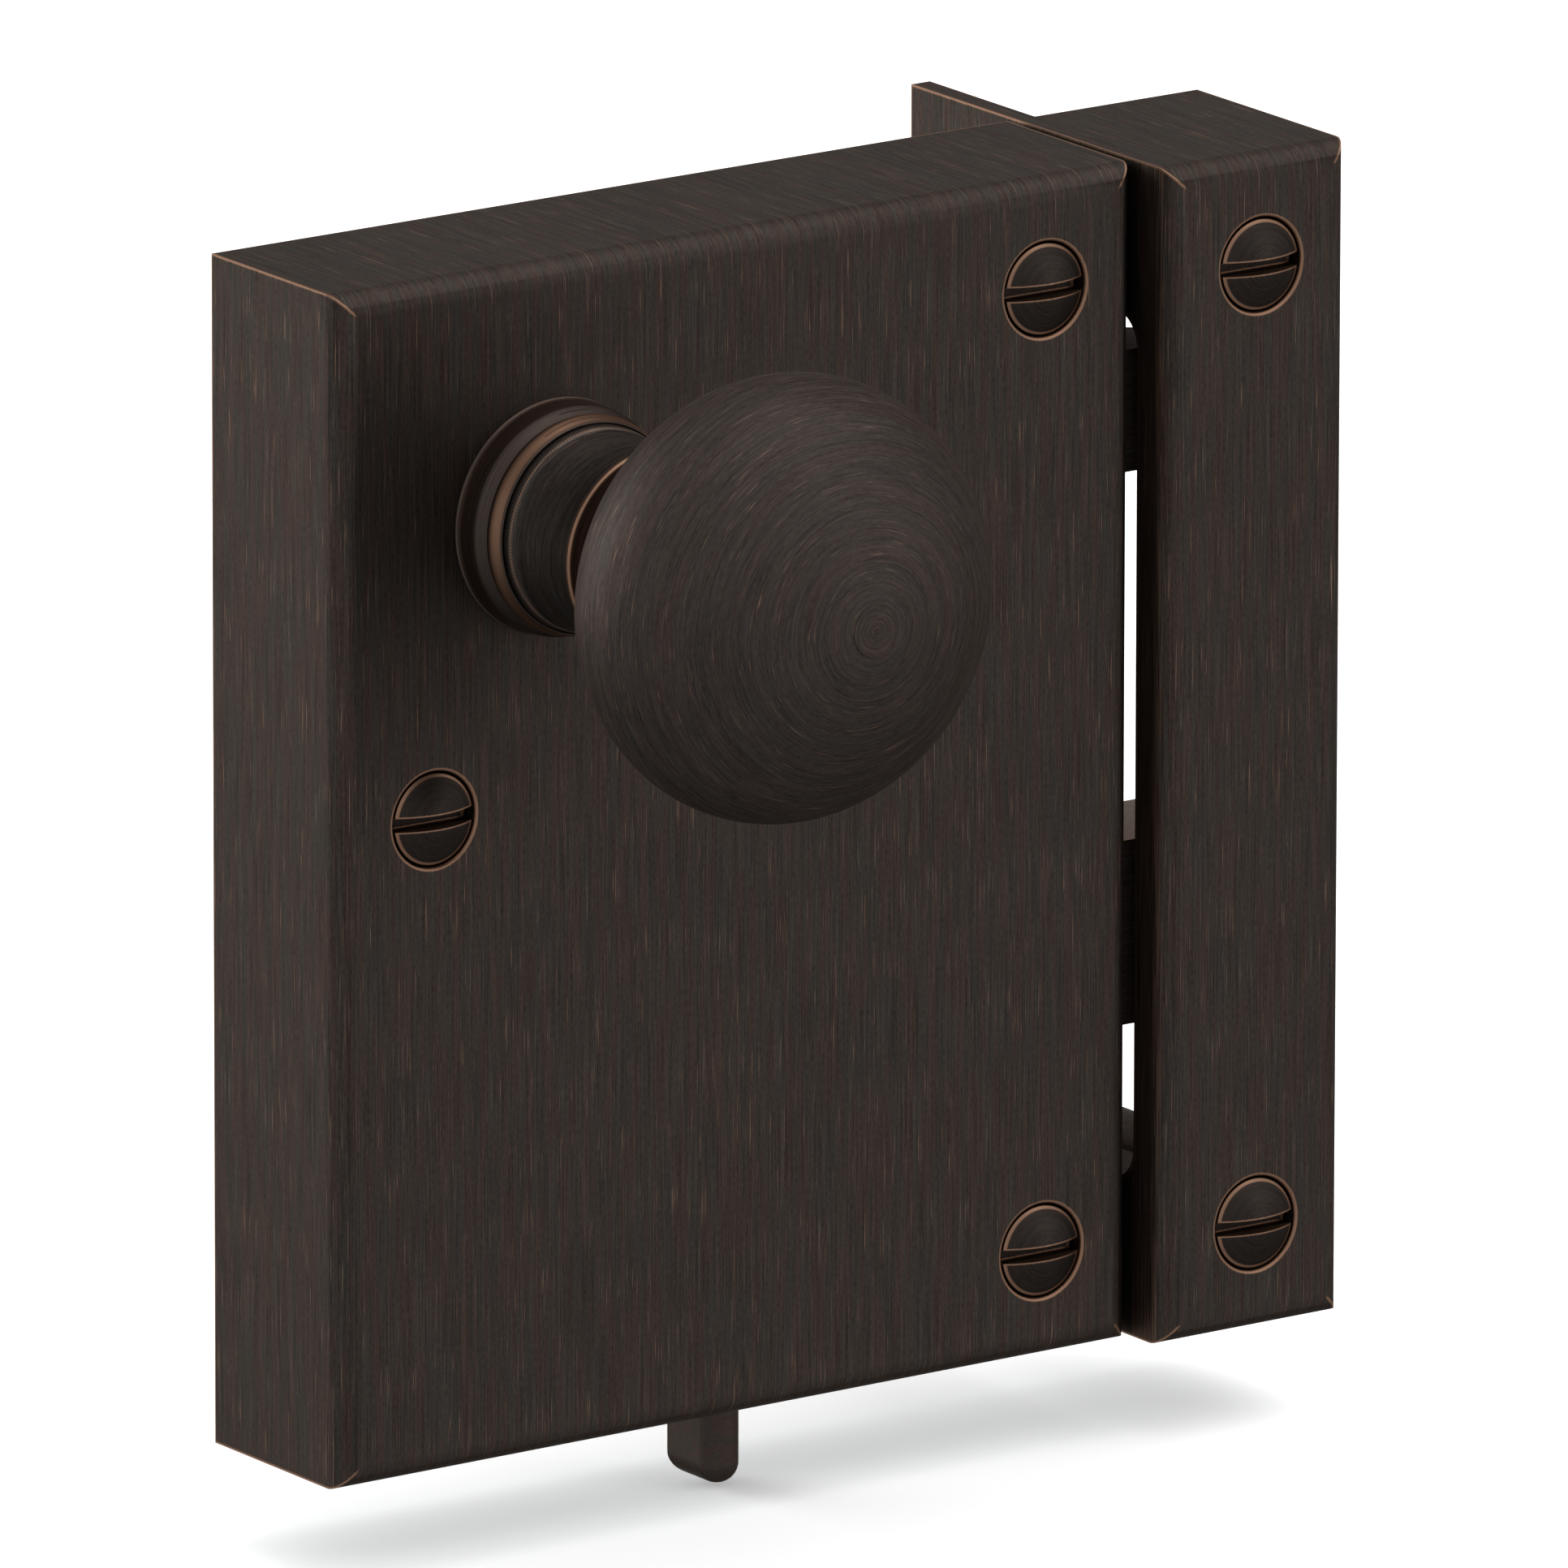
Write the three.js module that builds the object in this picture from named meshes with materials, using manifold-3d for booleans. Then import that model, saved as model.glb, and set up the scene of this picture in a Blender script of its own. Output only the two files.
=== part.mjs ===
// Rim lock with a spring latch, a toggle-thrown dead bolt and its box keeper.
// Millimetres. X runs from the lock case to the keeper, Y from the room into the door, Z up.
// While it is being shaped, every piece is placed from the case's lower left back corner.
import * as THREE from "three";
import { mergeVertices } from "three/addons/utils/BufferGeometryUtils.js";
import Module from "manifold-3d";

// Lock case.
const CASE_WIDTH = 95.2;
const CASE_HEIGHT = 120.65;
const CASE_DEPTH = 22;
const CASE_WALL = 2;
const EDGE_RADIUS = 2.45;
const EDGE_STEPS = 4;
const BACK_PLATE_THICKNESS = 1.8;
const BACK_PLATE_GAP = 0.1;

// Keeper.
const KEEPER_GAP = 1.09;
const KEEPER_WIDTH = 22.16;
const KEEPER_DEPTH = 26;
const KEEPER_WALL = 2.3;
const KEEPER_SIDE_WALL = 2.2;
const FLANGE_THICKNESS = 2.28;
const FLANGE_REACH = 18;
const KEEPER_SLOT_BOTTOM = 15.93;
const KEEPER_SLOT_TOP = 104.8;
const KEEPER_SLOT_FRONT = -20.75;
const KEEPER_SLOT_BACK = -2.2;
const KEEPER_SLOT_CORNER = 3.5;
const LINER_THICKNESS = 4.3;
const LINER_GAP = 0.02;
const LINER_SCREW_Y = -11.5;
const LINER_SCREW_HEIGHTS = [6.2, CASE_HEIGHT - 6.2];
const FLANGE_SCREW_HEIGHTS = [20, CASE_HEIGHT - 20];
const KEEPER_LEFT = CASE_WIDTH + KEEPER_GAP;
const KEEPER_RIGHT = KEEPER_LEFT + KEEPER_WIDTH;

// Mounting screws of the case and the keeper.
const SCREW_EDGE = 11.1;
const SCREW_HEAD_RADIUS = 4.55;
const SCREW_SEAT_RADIUS = 4.85;
const SCREW_SEAT_DEPTH = 3.4;
const SCREW_DOME = 0.55;
const DOME_STEPS = 4;
const SCREW_RIM_SINK = 0.35;
const SCREW_SLOT_WIDTH = 1.6;
const SCREW_SLOT_DEPTH = 1.5;
const SCREW_SHANK_RADIUS = 2.3;
const SCREW_HOLE_RADIUS = 2.6;
const SCREW_REACH = 12;
const BOSS_RADIUS = 6.2;
const CASE_SCREW_TOP = [CASE_WIDTH - SCREW_EDGE + 0.1, CASE_HEIGHT - SCREW_EDGE];
const CASE_SCREW_LEFT = [11.2, 66.66];
const CASE_SCREW_BOTTOM = [CASE_WIDTH - SCREW_EDGE + 0.1, SCREW_EDGE];
const KEEPER_SCREW_X = 107.55;

// Small countersunk screws.
const SMALL_HEAD_RADIUS = 2.6;
const SMALL_HEAD_DEPTH = 1.3;
const SMALL_SHANK_RADIUS = 1.35;
const SMALL_HOLE_RADIUS = 1.45;
const BACK_SCREW_LENGTH = 8;
const BACK_POST_RADIUS = 3;
const BACK_POSTS = [
  [6, 114.6],
  [6, 6],
  [88, 72],
];

// Knob, neck and rosette share one axis.
const KNOB_X = 25.5;
const KNOB_Z = 95.22;
const KNOB_RADIUS = 22.1;
const KNOB_HALF_LENGTH = 15.6;
const KNOB_CENTRE_OUT = 38.8;
const KNOB_STEM_RADIUS = 7.2;
const KNOB_STEM_END = 5;
const NECK_BORE_RADIUS = 7.5;
const ROSETTE_BORE_RADIUS = 9.5;
const SPINDLE_SIDE = 7;
const SPINDLE_HOLE_SIDE = 7.3;
const SPINDLE_FRONT = 30;
const SPINDLE_CLEARANCE_RADIUS = 5.6;
const SET_SCREW_OUT = 12;
const SET_SCREW_RADIUS = 1.6;
const SET_SCREW_HOLE_RADIUS = 1.75;

// Hub and its arm.
const HUB_RADIUS = 7;
const HUB_JOURNAL_RADIUS = 5.8;
const HUB_HOLE_RADIUS = 6.1;
const ARM_LENGTH = 18;
const ARM_HALF_WIDTH = 2;
const ARM_TIP_RADIUS = 3.5;
const ARM_REST_DEGREES = 25;
const ARM_FRONT = -12.5;
const ARM_BACK = -9.2;

// Bolts.
const BOLT_FRONT = -17.2;
const BOLT_BACK = -4.8;
const BOLT_TIP = 111.1;
const OPENING_GAP = 0.3;
const LATCH_BOTTOM = 88;
const LATCH_TOP = 100.5;
const LATCH_TAIL = 70;
const LATCH_BEVEL_START = 96;
const LATCH_BEVEL_SLOPE = 0.72;
const TAIL_PLATE_FRONT = -7.3;
const TAIL_PLATE_BOTTOM = 105;
const TAIL_PLATE_TOP = 116;
const LUG_LEFT = 24.4;
const LUG_RIGHT = 29.15;
const LUG_BOTTOM = 109.2;
const LATCH_STROKE = 15.2;
const DEAD_BOTTOM = 31.2;
const DEAD_TOP = 50.2;
const DEAD_TAIL = 44;
const DEAD_STROKE = 15.4;

// Thumb tab of the dead bolt.
const TOGGLE_X = 51.25;
const TOGGLE_WIDTH = 4.4;
const TOGGLE_FRONT = -15;
const TOGGLE_BACK = -7.05;
const TOGGLE_BOTTOM = -9.9;
const TOGGLE_TOP = 44;
const TOGGLE_FIT = 0.12;
const TOGGLE_PIN_Z = 40.7;

// Studs and springs.
const STUD_RADIUS = 2.1;
const STUD_HEAD_RADIUS = 3.7;
const STUD_SLOT_HALF = 2.45;
const LATCH_STUD = [50, 110.5];
const BOLT_STUD = [65, 40.7];
const COIL_RADIUS = 3.2;
const COIL_WIRE_RADIUS = 0.5;
const COIL_TURNS = 8;
const COIL_START = 40.7;
const COIL_END = 69.3;

// Finishes.
const BRONZE = new THREE.MeshStandardMaterial({ color: 0x332b28, metalness: 0.9, roughness: 0.42 });
const BRONZE_SCREW = new THREE.MeshStandardMaterial({
  color: 0x3a302b,
  metalness: 0.9,
  roughness: 0.38,
});
const PLATE_STEEL = new THREE.MeshStandardMaterial({ color: 0x6f6c68, metalness: 1, roughness: 0.5 });
const SPRING_STEEL = new THREE.MeshStandardMaterial({ color: 0x8b8983, metalness: 1, roughness: 0.3 });

const wasm = await Module();
wasm.setup();

// A closed three.js geometry as a solid that can be joined and cut.
function solidFrom(geometry) {
  const bare = new THREE.BufferGeometry();
  bare.setAttribute("position", geometry.getAttribute("position").clone());
  if (geometry.index) bare.setIndex(geometry.index.clone());
  const merged = mergeVertices(bare, 1e-4);
  const corners = merged.index.array;
  const points = merged.attributes.position;
  const kept = [];
  const a = new THREE.Vector3();
  const b = new THREE.Vector3();
  const c = new THREE.Vector3();
  let volume = 0;
  for (let i = 0; i < corners.length; i += 3) {
    const [p, q, r] = [corners[i], corners[i + 1], corners[i + 2]];
    if (p === q || q === r || p === r) continue;
    kept.push(p, q, r);
    a.fromBufferAttribute(points, p);
    b.fromBufferAttribute(points, q);
    c.fromBufferAttribute(points, r);
    volume += a.dot(b.cross(c));
  }
  if (volume < 0) kept.reverse();
  const mesh = new wasm.Mesh({
    numProp: 3,
    vertProperties: new Float32Array(points.array),
    triVerts: new Uint32Array(kept),
  });
  return new wasm.Manifold(mesh);
}

// A box between two corners.
function block(x0, x1, y0, y1, z0, z1) {
  const geometry = new THREE.BoxGeometry(x1 - x0, y1 - y0, z1 - z0);
  geometry.translate((x0 + x1) / 2, (y0 + y1) / 2, (z0 + z1) / 2);
  return solidFrom(geometry);
}

// A round bar along Y, from depth y0 to depth y1.
function barY(x, z, radius, y0, y1, sides = 24) {
  const geometry = new THREE.CylinderGeometry(radius, radius, y1 - y0, sides);
  geometry.translate(x, (y0 + y1) / 2, z);
  return solidFrom(geometry);
}

// A round bar along X.
function barX(y, z, radius, x0, x1, sides = 20) {
  const geometry = new THREE.CylinderGeometry(radius, radius, x1 - x0, sides);
  geometry.rotateZ(-Math.PI / 2);
  geometry.translate((x0 + x1) / 2, y, z);
  return solidFrom(geometry);
}

// A turned piece about Y. The profile lists [radius, y] and closes on itself or on the axis.
function turned(profile, sides) {
  const points = profile.map(([radius, y]) => new THREE.Vector2(radius, y));
  points.push(points[0].clone());
  return solidFrom(new THREE.LatheGeometry(points, sides));
}

// A turned piece on the knob's axis. The profile lists [radius, distance out from the case's face].
function turnedOnKnobAxis(profile, sides) {
  const fromFace = profile.map(([radius, out]) => [radius, -CASE_DEPTH - out]);
  return turned(fromFace, sides);
}

// A flat outline of [x, z] points, thick from depth y0 to depth y1.
function plateXZ(outline, y0, y1) {
  const shape = new THREE.Shape(outline.map(([x, z]) => new THREE.Vector2(x, z)));
  const geometry = new THREE.ExtrudeGeometry(shape, { depth: y1 - y0, bevelEnabled: false });
  geometry.rotateX(Math.PI / 2);
  geometry.translate(0, y1, 0);
  return solidFrom(geometry);
}

// A flat outline of [x, y] points, from height z0 to height z1.
function plateXY(outline, z0, z1) {
  const shape = new THREE.Shape(outline.map(([x, y]) => new THREE.Vector2(x, y)));
  const geometry = new THREE.ExtrudeGeometry(shape, { depth: z1 - z0, bevelEnabled: false });
  geometry.translate(0, 0, z0);
  return solidFrom(geometry);
}

// A flat outline of [y, z] points, from x0 to x1.
function plateYZ(outline, x0, x1) {
  const shape = new THREE.Shape(outline.map(([y, z]) => new THREE.Vector2(y, z)));
  const geometry = new THREE.ExtrudeGeometry(shape, { depth: x1 - x0, bevelEnabled: false });
  geometry.rotateY(Math.PI / 2);
  geometry.rotateX(Math.PI / 2);
  geometry.translate(x0, 0, 0);
  return solidFrom(geometry);
}

// Points of a quarter turn about a centre, from one angle to another.
function arc(cx, cy, radius, fromDegrees, toDegrees, steps) {
  const points = [];
  for (let i = 0; i <= steps; i += 1) {
    const angle = THREE.MathUtils.degToRad(fromDegrees + ((toDegrees - fromDegrees) * i) / steps);
    points.push([cx + radius * Math.cos(angle), cy + radius * Math.sin(angle)]);
  }
  return points;
}

// An outline open towards +depth whose two front corners are round: [across, depth] points.
function panOutline(low, high, front, back, radius) {
  return [
    [high, back],
    [low, back],
    ...arc(low + radius, front + radius, radius, 180, 270, EDGE_STEPS),
    ...arc(high - radius, front + radius, radius, 270, 360, EDGE_STEPS),
  ];
}

// A box whose four front edges are round and meet in mitred corners.
function roundedBox(x0, x1, z0, z1, front, back, radius) {
  const across = plateXY(panOutline(x0, x1, front, back, radius), z0, z1);
  const upright = panOutline(z0, z1, front, back, radius).map(([z, y]) => [y, z]);
  return across.intersect(plateYZ(upright, x0, x1));
}

// A rounded rectangle of [y, z] points.
function slotOutline(y0, y1, z0, z1, radius) {
  return [
    ...arc(y1 - radius, z1 - radius, radius, 0, 90, 5),
    ...arc(y0 + radius, z1 - radius, radius, 90, 180, 5),
    ...arc(y0 + radius, z0 + radius, radius, 180, 270, 5),
    ...arc(y1 - radius, z0 + radius, radius, 270, 360, 5),
  ];
}

// A stepped hole for a domed screw: a wide seat for the head, then the shank's hole.
function screwHole([x, z], front) {
  const seat = barY(x, z, SCREW_SEAT_RADIUS, front - 1, front + SCREW_SEAT_DEPTH, 28);
  return seat.add(barY(x, z, SCREW_HOLE_RADIUS, front, 1, 16));
}

// A countersunk hole for a small screw that is driven forwards from the back.
function smallHoleFromBack(x, z, depth) {
  const cone = turned(
    [
      [0, 0.5],
      [SMALL_HEAD_RADIUS + 0.6, 0.5],
      [SMALL_HEAD_RADIUS + 0.1, 0],
      [SMALL_HOLE_RADIUS, -SMALL_HEAD_DEPTH],
      [0, -SMALL_HEAD_DEPTH],
    ],
    16,
  );
  const shank = barY(0, 0, SMALL_HOLE_RADIUS, -depth, 0, 12);
  return cone.add(shank).translate([x, 0, z]);
}

// The lock case: a deep pan with bosses for its screws and openings for the moving pieces.
function lockCase() {
  const inside = CASE_WALL;
  let shell = roundedBox(0, CASE_WIDTH, 0, CASE_HEIGHT, -CASE_DEPTH, 0, EDGE_RADIUS);
  const hollow = roundedBox(
    inside,
    CASE_WIDTH - inside,
    inside,
    CASE_HEIGHT - inside,
    inside - CASE_DEPTH,
    1,
    0.6,
  );
  shell = shell.subtract(hollow);
  for (const place of [CASE_SCREW_TOP, CASE_SCREW_LEFT, CASE_SCREW_BOTTOM]) {
    const boss = barY(place[0], place[1], BOSS_RADIUS, -CASE_DEPTH + 1, -BACK_PLATE_THICKNESS, 24);
    shell = shell.add(boss).subtract(screwHole(place, -CASE_DEPTH));
  }
  for (const [x, z] of BACK_POSTS) {
    const post = barY(x, z, BACK_POST_RADIUS, 1 - CASE_DEPTH, -BACK_PLATE_THICKNESS, 16);
    const pilot = barY(x, z, SMALL_HOLE_RADIUS, -BACK_SCREW_LENGTH - 0.8, 1, 12);
    shell = shell.add(post).subtract(pilot);
  }
  shell = shell.subtract(barY(KNOB_X, KNOB_Z, HUB_HOLE_RADIUS, -CASE_DEPTH - 1, -15, 24));
  const gap = OPENING_GAP;
  const wall = [CASE_WIDTH - inside - 1, CASE_WIDTH + 1];
  const depth = [BOLT_FRONT - gap, BOLT_BACK + gap];
  shell = shell.subtract(block(...wall, ...depth, LATCH_BOTTOM - gap, LATCH_TOP + gap));
  shell = shell.subtract(block(...wall, ...depth, DEAD_BOTTOM - gap, DEAD_TOP + gap));
  return shell.subtract(toggleSlot());
}

// The long slot in the case's bottom wall that the toggle travels in.
function toggleSlot() {
  const half = TOGGLE_WIDTH / 2 + 0.45;
  const low = TOGGLE_X - DEAD_STROKE - half;
  const high = TOGGLE_X + half;
  const front = TOGGLE_FRONT - 0.4;
  const back = TOGGLE_BACK + 0.4;
  const outline = slotOutline(low, high, front, back, 0.6);
  return plateXY(outline, -1, CASE_WALL + 1);
}

// The sheet that closes the back of the case.
function backPlate() {
  const edge = CASE_WALL + BACK_PLATE_GAP;
  let plate = block(edge, CASE_WIDTH - edge, -BACK_PLATE_THICKNESS, 0, edge, CASE_HEIGHT - edge);
  for (const [x, z] of [CASE_SCREW_TOP, CASE_SCREW_LEFT, CASE_SCREW_BOTTOM]) {
    plate = plate.subtract(barY(x, z, SCREW_HOLE_RADIUS + 0.3, -4, 1, 16));
  }
  for (const [x, z] of BACK_POSTS) {
    plate = plate.subtract(smallHoleFromBack(x, z, 4));
  }
  return plate.subtract(barY(KNOB_X, KNOB_Z, SPINDLE_CLEARANCE_RADIUS, -4, 1, 20));
}

// One small countersunk screw, its head flush with the back plane.
function backScrew() {
  const body = turned(
    [
      [0, 0],
      [SMALL_HEAD_RADIUS, 0],
      [SMALL_SHANK_RADIUS, 0.1 - SMALL_HEAD_DEPTH],
      [SMALL_SHANK_RADIUS, 0.8 - BACK_SCREW_LENGTH],
      [0.5, -BACK_SCREW_LENGTH],
      [0, -BACK_SCREW_LENGTH],
    ],
    12,
  );
  return body.subtract(block(-4, 4, -0.6, 1, -0.35, 0.35));
}

// A domed screw with a straight slot. The head sits in its seat and the shank enters the wood.
function domedScrew(front, length) {
  const rim = front + SCREW_RIM_SINK;
  const under = front + SCREW_SEAT_DEPTH;
  const profile = [[0, rim - SCREW_DOME]];
  for (let i = 1; i <= DOME_STEPS; i += 1) {
    const share = i / DOME_STEPS;
    profile.push([(SCREW_HEAD_RADIUS - 0.15) * share, rim - SCREW_DOME * (1 - share ** 2)]);
  }
  profile.push([SCREW_HEAD_RADIUS, rim + 0.2]);
  profile.push([SCREW_HEAD_RADIUS, under]);
  profile.push([SCREW_SHANK_RADIUS, under]);
  profile.push([SCREW_SHANK_RADIUS, length - 5]);
  profile.push([0.4, length]);
  profile.push([0, length]);
  const half = SCREW_SLOT_WIDTH / 2;
  const slotFloor = rim - SCREW_DOME + SCREW_SLOT_DEPTH;
  const slot = block(-6, 6, front - 2, slotFloor, -half, half);
  return turned(profile, 24).subtract(slot);
}

// The fixed collar that the knob's neck turns in: a cove, two beads and a mouth.
function rosette() {
  const profile = [
    [ROSETTE_BORE_RADIUS, 0],
    [11.95, 0],
    [11.95, 0.3],
    [11.6, 0.8],
    [11.62, 2.9],
    [11.46, 4.2],
    [11.12, 4.75],
    [11.36, 5.4],
    [11.3, 6.15],
    [10.9, 6.7],
    [10.9, 5.7],
    [ROSETTE_BORE_RADIUS, 5.7],
  ];
  return turnedOnKnobAxis(profile, 40);
}

// The turning neck: a foot in the rosette, a bright rim, a waist, and a dished front with a lip.
function knobNeck() {
  const profile = [
    [NECK_BORE_RADIUS, 0.6],
    [9.2, 0.6],
    [9.2, 6],
    [10.6, 6],
    [10.6, 6.95],
    [10.3, 7.25],
    [9.85, 8.6],
    [9.58, 11.2],
    [9.68, 14],
    [10.05, 16],
    [10.42, 17.1],
    [10.2, 17.35],
    [9.9, 17.3],
    [8.9, 15.9],
    [NECK_BORE_RADIUS, 15.5],
  ];
  const tapped = barY(0, 0, SET_SCREW_HOLE_RADIUS, 6, 12, 16).rotate([-90, 0, 0]);
  const hole = tapped.translate([0, -CASE_DEPTH - SET_SCREW_OUT, 0]);
  return turnedOnKnobAxis(profile, 36).subtract(hole);
}

// The knob: a flattened ball on a stem, with a square socket for the spindle.
function knob() {
  const profile = [[0, KNOB_CENTRE_OUT + KNOB_HALF_LENGTH]];
  const steps = 16;
  const lastAngle = 157;
  for (let i = 1; i <= steps; i += 1) {
    const angle = THREE.MathUtils.degToRad((lastAngle * i) / steps);
    const radius = KNOB_RADIUS * Math.sin(angle);
    profile.push([radius, KNOB_CENTRE_OUT + KNOB_HALF_LENGTH * Math.cos(angle)]);
  }
  profile.push([7.9, 23.6]);
  profile.push([KNOB_STEM_RADIUS, 22]);
  profile.push([KNOB_STEM_RADIUS, KNOB_STEM_END]);
  profile.push([0, KNOB_STEM_END]);
  const half = SPINDLE_HOLE_SIDE / 2;
  const bottom = -CASE_DEPTH - SPINDLE_FRONT - 0.5;
  const socket = block(-half, half, bottom, 0, -half, half);
  const pocket = barY(0, 0, SET_SCREW_HOLE_RADIUS, 0, 9, 16).rotate([-90, 0, 0]);
  const hole = pocket.translate([0, -CASE_DEPTH - SET_SCREW_OUT, 0]);
  return turnedOnKnobAxis(profile, 44).subtract(socket).subtract(hole);
}

// The grub screw that locks neck, knob and spindle together, driven up from below.
function knobSetScrew() {
  const top = -SPINDLE_SIDE / 2 - 0.05;
  const length = 5.6;
  const body = barY(0, 0, SET_SCREW_RADIUS, 0, length, 12).rotate([-90, 0, 0]);
  const driver = block(-3, 3, -0.3, 0.3, -20, 0.9 - length);
  return body.subtract(driver).translate([0, -CASE_DEPTH - SET_SCREW_OUT, top]);
}

// The square bar that runs from the knob's stem through the hub.
function spindle() {
  const half = SPINDLE_SIDE / 2;
  return block(-half, half, -CASE_DEPTH - SPINDLE_FRONT, -0.4, -half, half);
}

// The hub on the spindle, with the arm that pulls the latch back.
function hub() {
  const front = CASE_WALL + 0.4 - CASE_DEPTH;
  const barrel = barY(0, 0, HUB_RADIUS, front, -BACK_PLATE_THICKNESS - 0.4, 24);
  const journal = barY(0, 0, HUB_JOURNAL_RADIUS, 0.3 - CASE_DEPTH, -10, 24);
  const web = block(-ARM_HALF_WIDTH, ARM_HALF_WIDTH, ARM_FRONT, ARM_BACK, 0, ARM_LENGTH);
  const tip = barY(0, ARM_LENGTH, ARM_TIP_RADIUS, ARM_FRONT, ARM_BACK, 20);
  const arm = web.add(tip).rotate([0, ARM_REST_DEGREES, 0]);
  const half = SPINDLE_HOLE_SIDE / 2;
  const socket = block(-half, half, -CASE_DEPTH - 1, 1, -half, half);
  return barrel.add(journal).add(arm).subtract(socket);
}

// The spring latch: a bevelled head, and a tail plate that ends in a lug beside the hub's arm.
function latchBolt() {
  const head = block(LATCH_TAIL, BOLT_TIP, BOLT_FRONT, BOLT_BACK, LATCH_BOTTOM, LATCH_TOP);
  const run = BOLT_TIP + 2 - LATCH_BEVEL_START;
  const bevel = [
    [LATCH_BEVEL_START, BOLT_BACK],
    [BOLT_TIP + 2, BOLT_BACK - run * LATCH_BEVEL_SLOPE],
    [BOLT_TIP + 2, BOLT_BACK + 1],
    [LATCH_BEVEL_START, BOLT_BACK + 1],
  ];
  const crank = block(
    LATCH_TAIL,
    LATCH_TAIL + 7,
    TAIL_PLATE_FRONT,
    BOLT_BACK,
    LATCH_TOP - 1,
    TAIL_PLATE_TOP,
  );
  const tail = block(
    LUG_LEFT,
    LATCH_TAIL + 1,
    TAIL_PLATE_FRONT,
    BOLT_BACK,
    TAIL_PLATE_BOTTOM,
    TAIL_PLATE_TOP,
  );
  const lug = block(LUG_LEFT, LUG_RIGHT, ARM_FRONT - 0.4, BOLT_BACK, LUG_BOTTOM, TAIL_PLATE_TOP);
  const rod = barX((BOLT_FRONT + BOLT_BACK) / 2, (LATCH_BOTTOM + LATCH_TOP) / 2, 1.8, 60, 71, 16);
  const solid = head.add(crank).add(tail).add(lug).add(rod);
  const cut = plateXY(bevel, LATCH_BOTTOM - 1, LATCH_TOP + 1);
  const slot = studSlot(LATCH_STUD, LATCH_STROKE, TAIL_PLATE_FRONT - 1, BOLT_BACK + 1);
  return solid.subtract(cut).subtract(slot);
}

// The long hole that lets a bolt slide past its guide stud.
function studSlot([x, z], stroke, front, back) {
  const half = STUD_SLOT_HALF;
  const low = x - STUD_RADIUS - 0.4;
  const high = x + stroke + STUD_RADIUS + 0.4;
  const outline = slotOutline(low, high, z - half, z + half, half - 0.01);
  return plateXZ(outline, front, back);
}

// A shouldered guide stud on the back plate. Its head keeps the bolt from tipping forwards.
function guideStud([x, z], headBack, headFront) {
  const stem = barY(x, z, STUD_RADIUS, headBack - 0.5, -BACK_PLATE_THICKNESS, 16);
  return stem.add(barY(x, z, STUD_HEAD_RADIUS, headFront, headBack, 20));
}

// The dead bolt: a plain square bar, with a mortise for the toggle's stem.
function deadBolt() {
  let bar = block(DEAD_TAIL, BOLT_TIP, BOLT_FRONT, BOLT_BACK, DEAD_BOTTOM, DEAD_TOP);
  const half = TOGGLE_WIDTH / 2 + TOGGLE_FIT;
  bar = bar.subtract(
    block(
      TOGGLE_X - half,
      TOGGLE_X + half,
      TOGGLE_FRONT - TOGGLE_FIT,
      TOGGLE_BACK + TOGGLE_FIT,
      DEAD_BOTTOM - 1,
      TOGGLE_TOP + 0.4,
    ),
  );
  bar = bar.subtract(barY(TOGGLE_X, TOGGLE_PIN_Z, 1.15, BOLT_FRONT - 1, BOLT_BACK + 1, 16));
  const recess = block(
    BOLT_STUD[0] - STUD_HEAD_RADIUS - 0.5,
    BOLT_STUD[0] + DEAD_STROKE + STUD_HEAD_RADIUS + 0.5,
    BOLT_FRONT - 1,
    -11,
    BOLT_STUD[1] - STUD_HEAD_RADIUS - 0.5,
    BOLT_STUD[1] + STUD_HEAD_RADIUS + 0.5,
  );
  bar = bar.subtract(recess);
  bar = bar.subtract(studSlot(BOLT_STUD, DEAD_STROKE, -12, BOLT_BACK + 1));
  for (const x of [58, 58 + DEAD_STROKE]) {
    const notch = [
      [x - 1.6, DEAD_TOP + 0.1],
      [x, DEAD_TOP - 1],
      [x + 1.6, DEAD_TOP + 0.1],
    ];
    bar = bar.subtract(plateXZ(notch, BOLT_FRONT - 1, BOLT_BACK + 1));
  }
  return bar;
}

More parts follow.
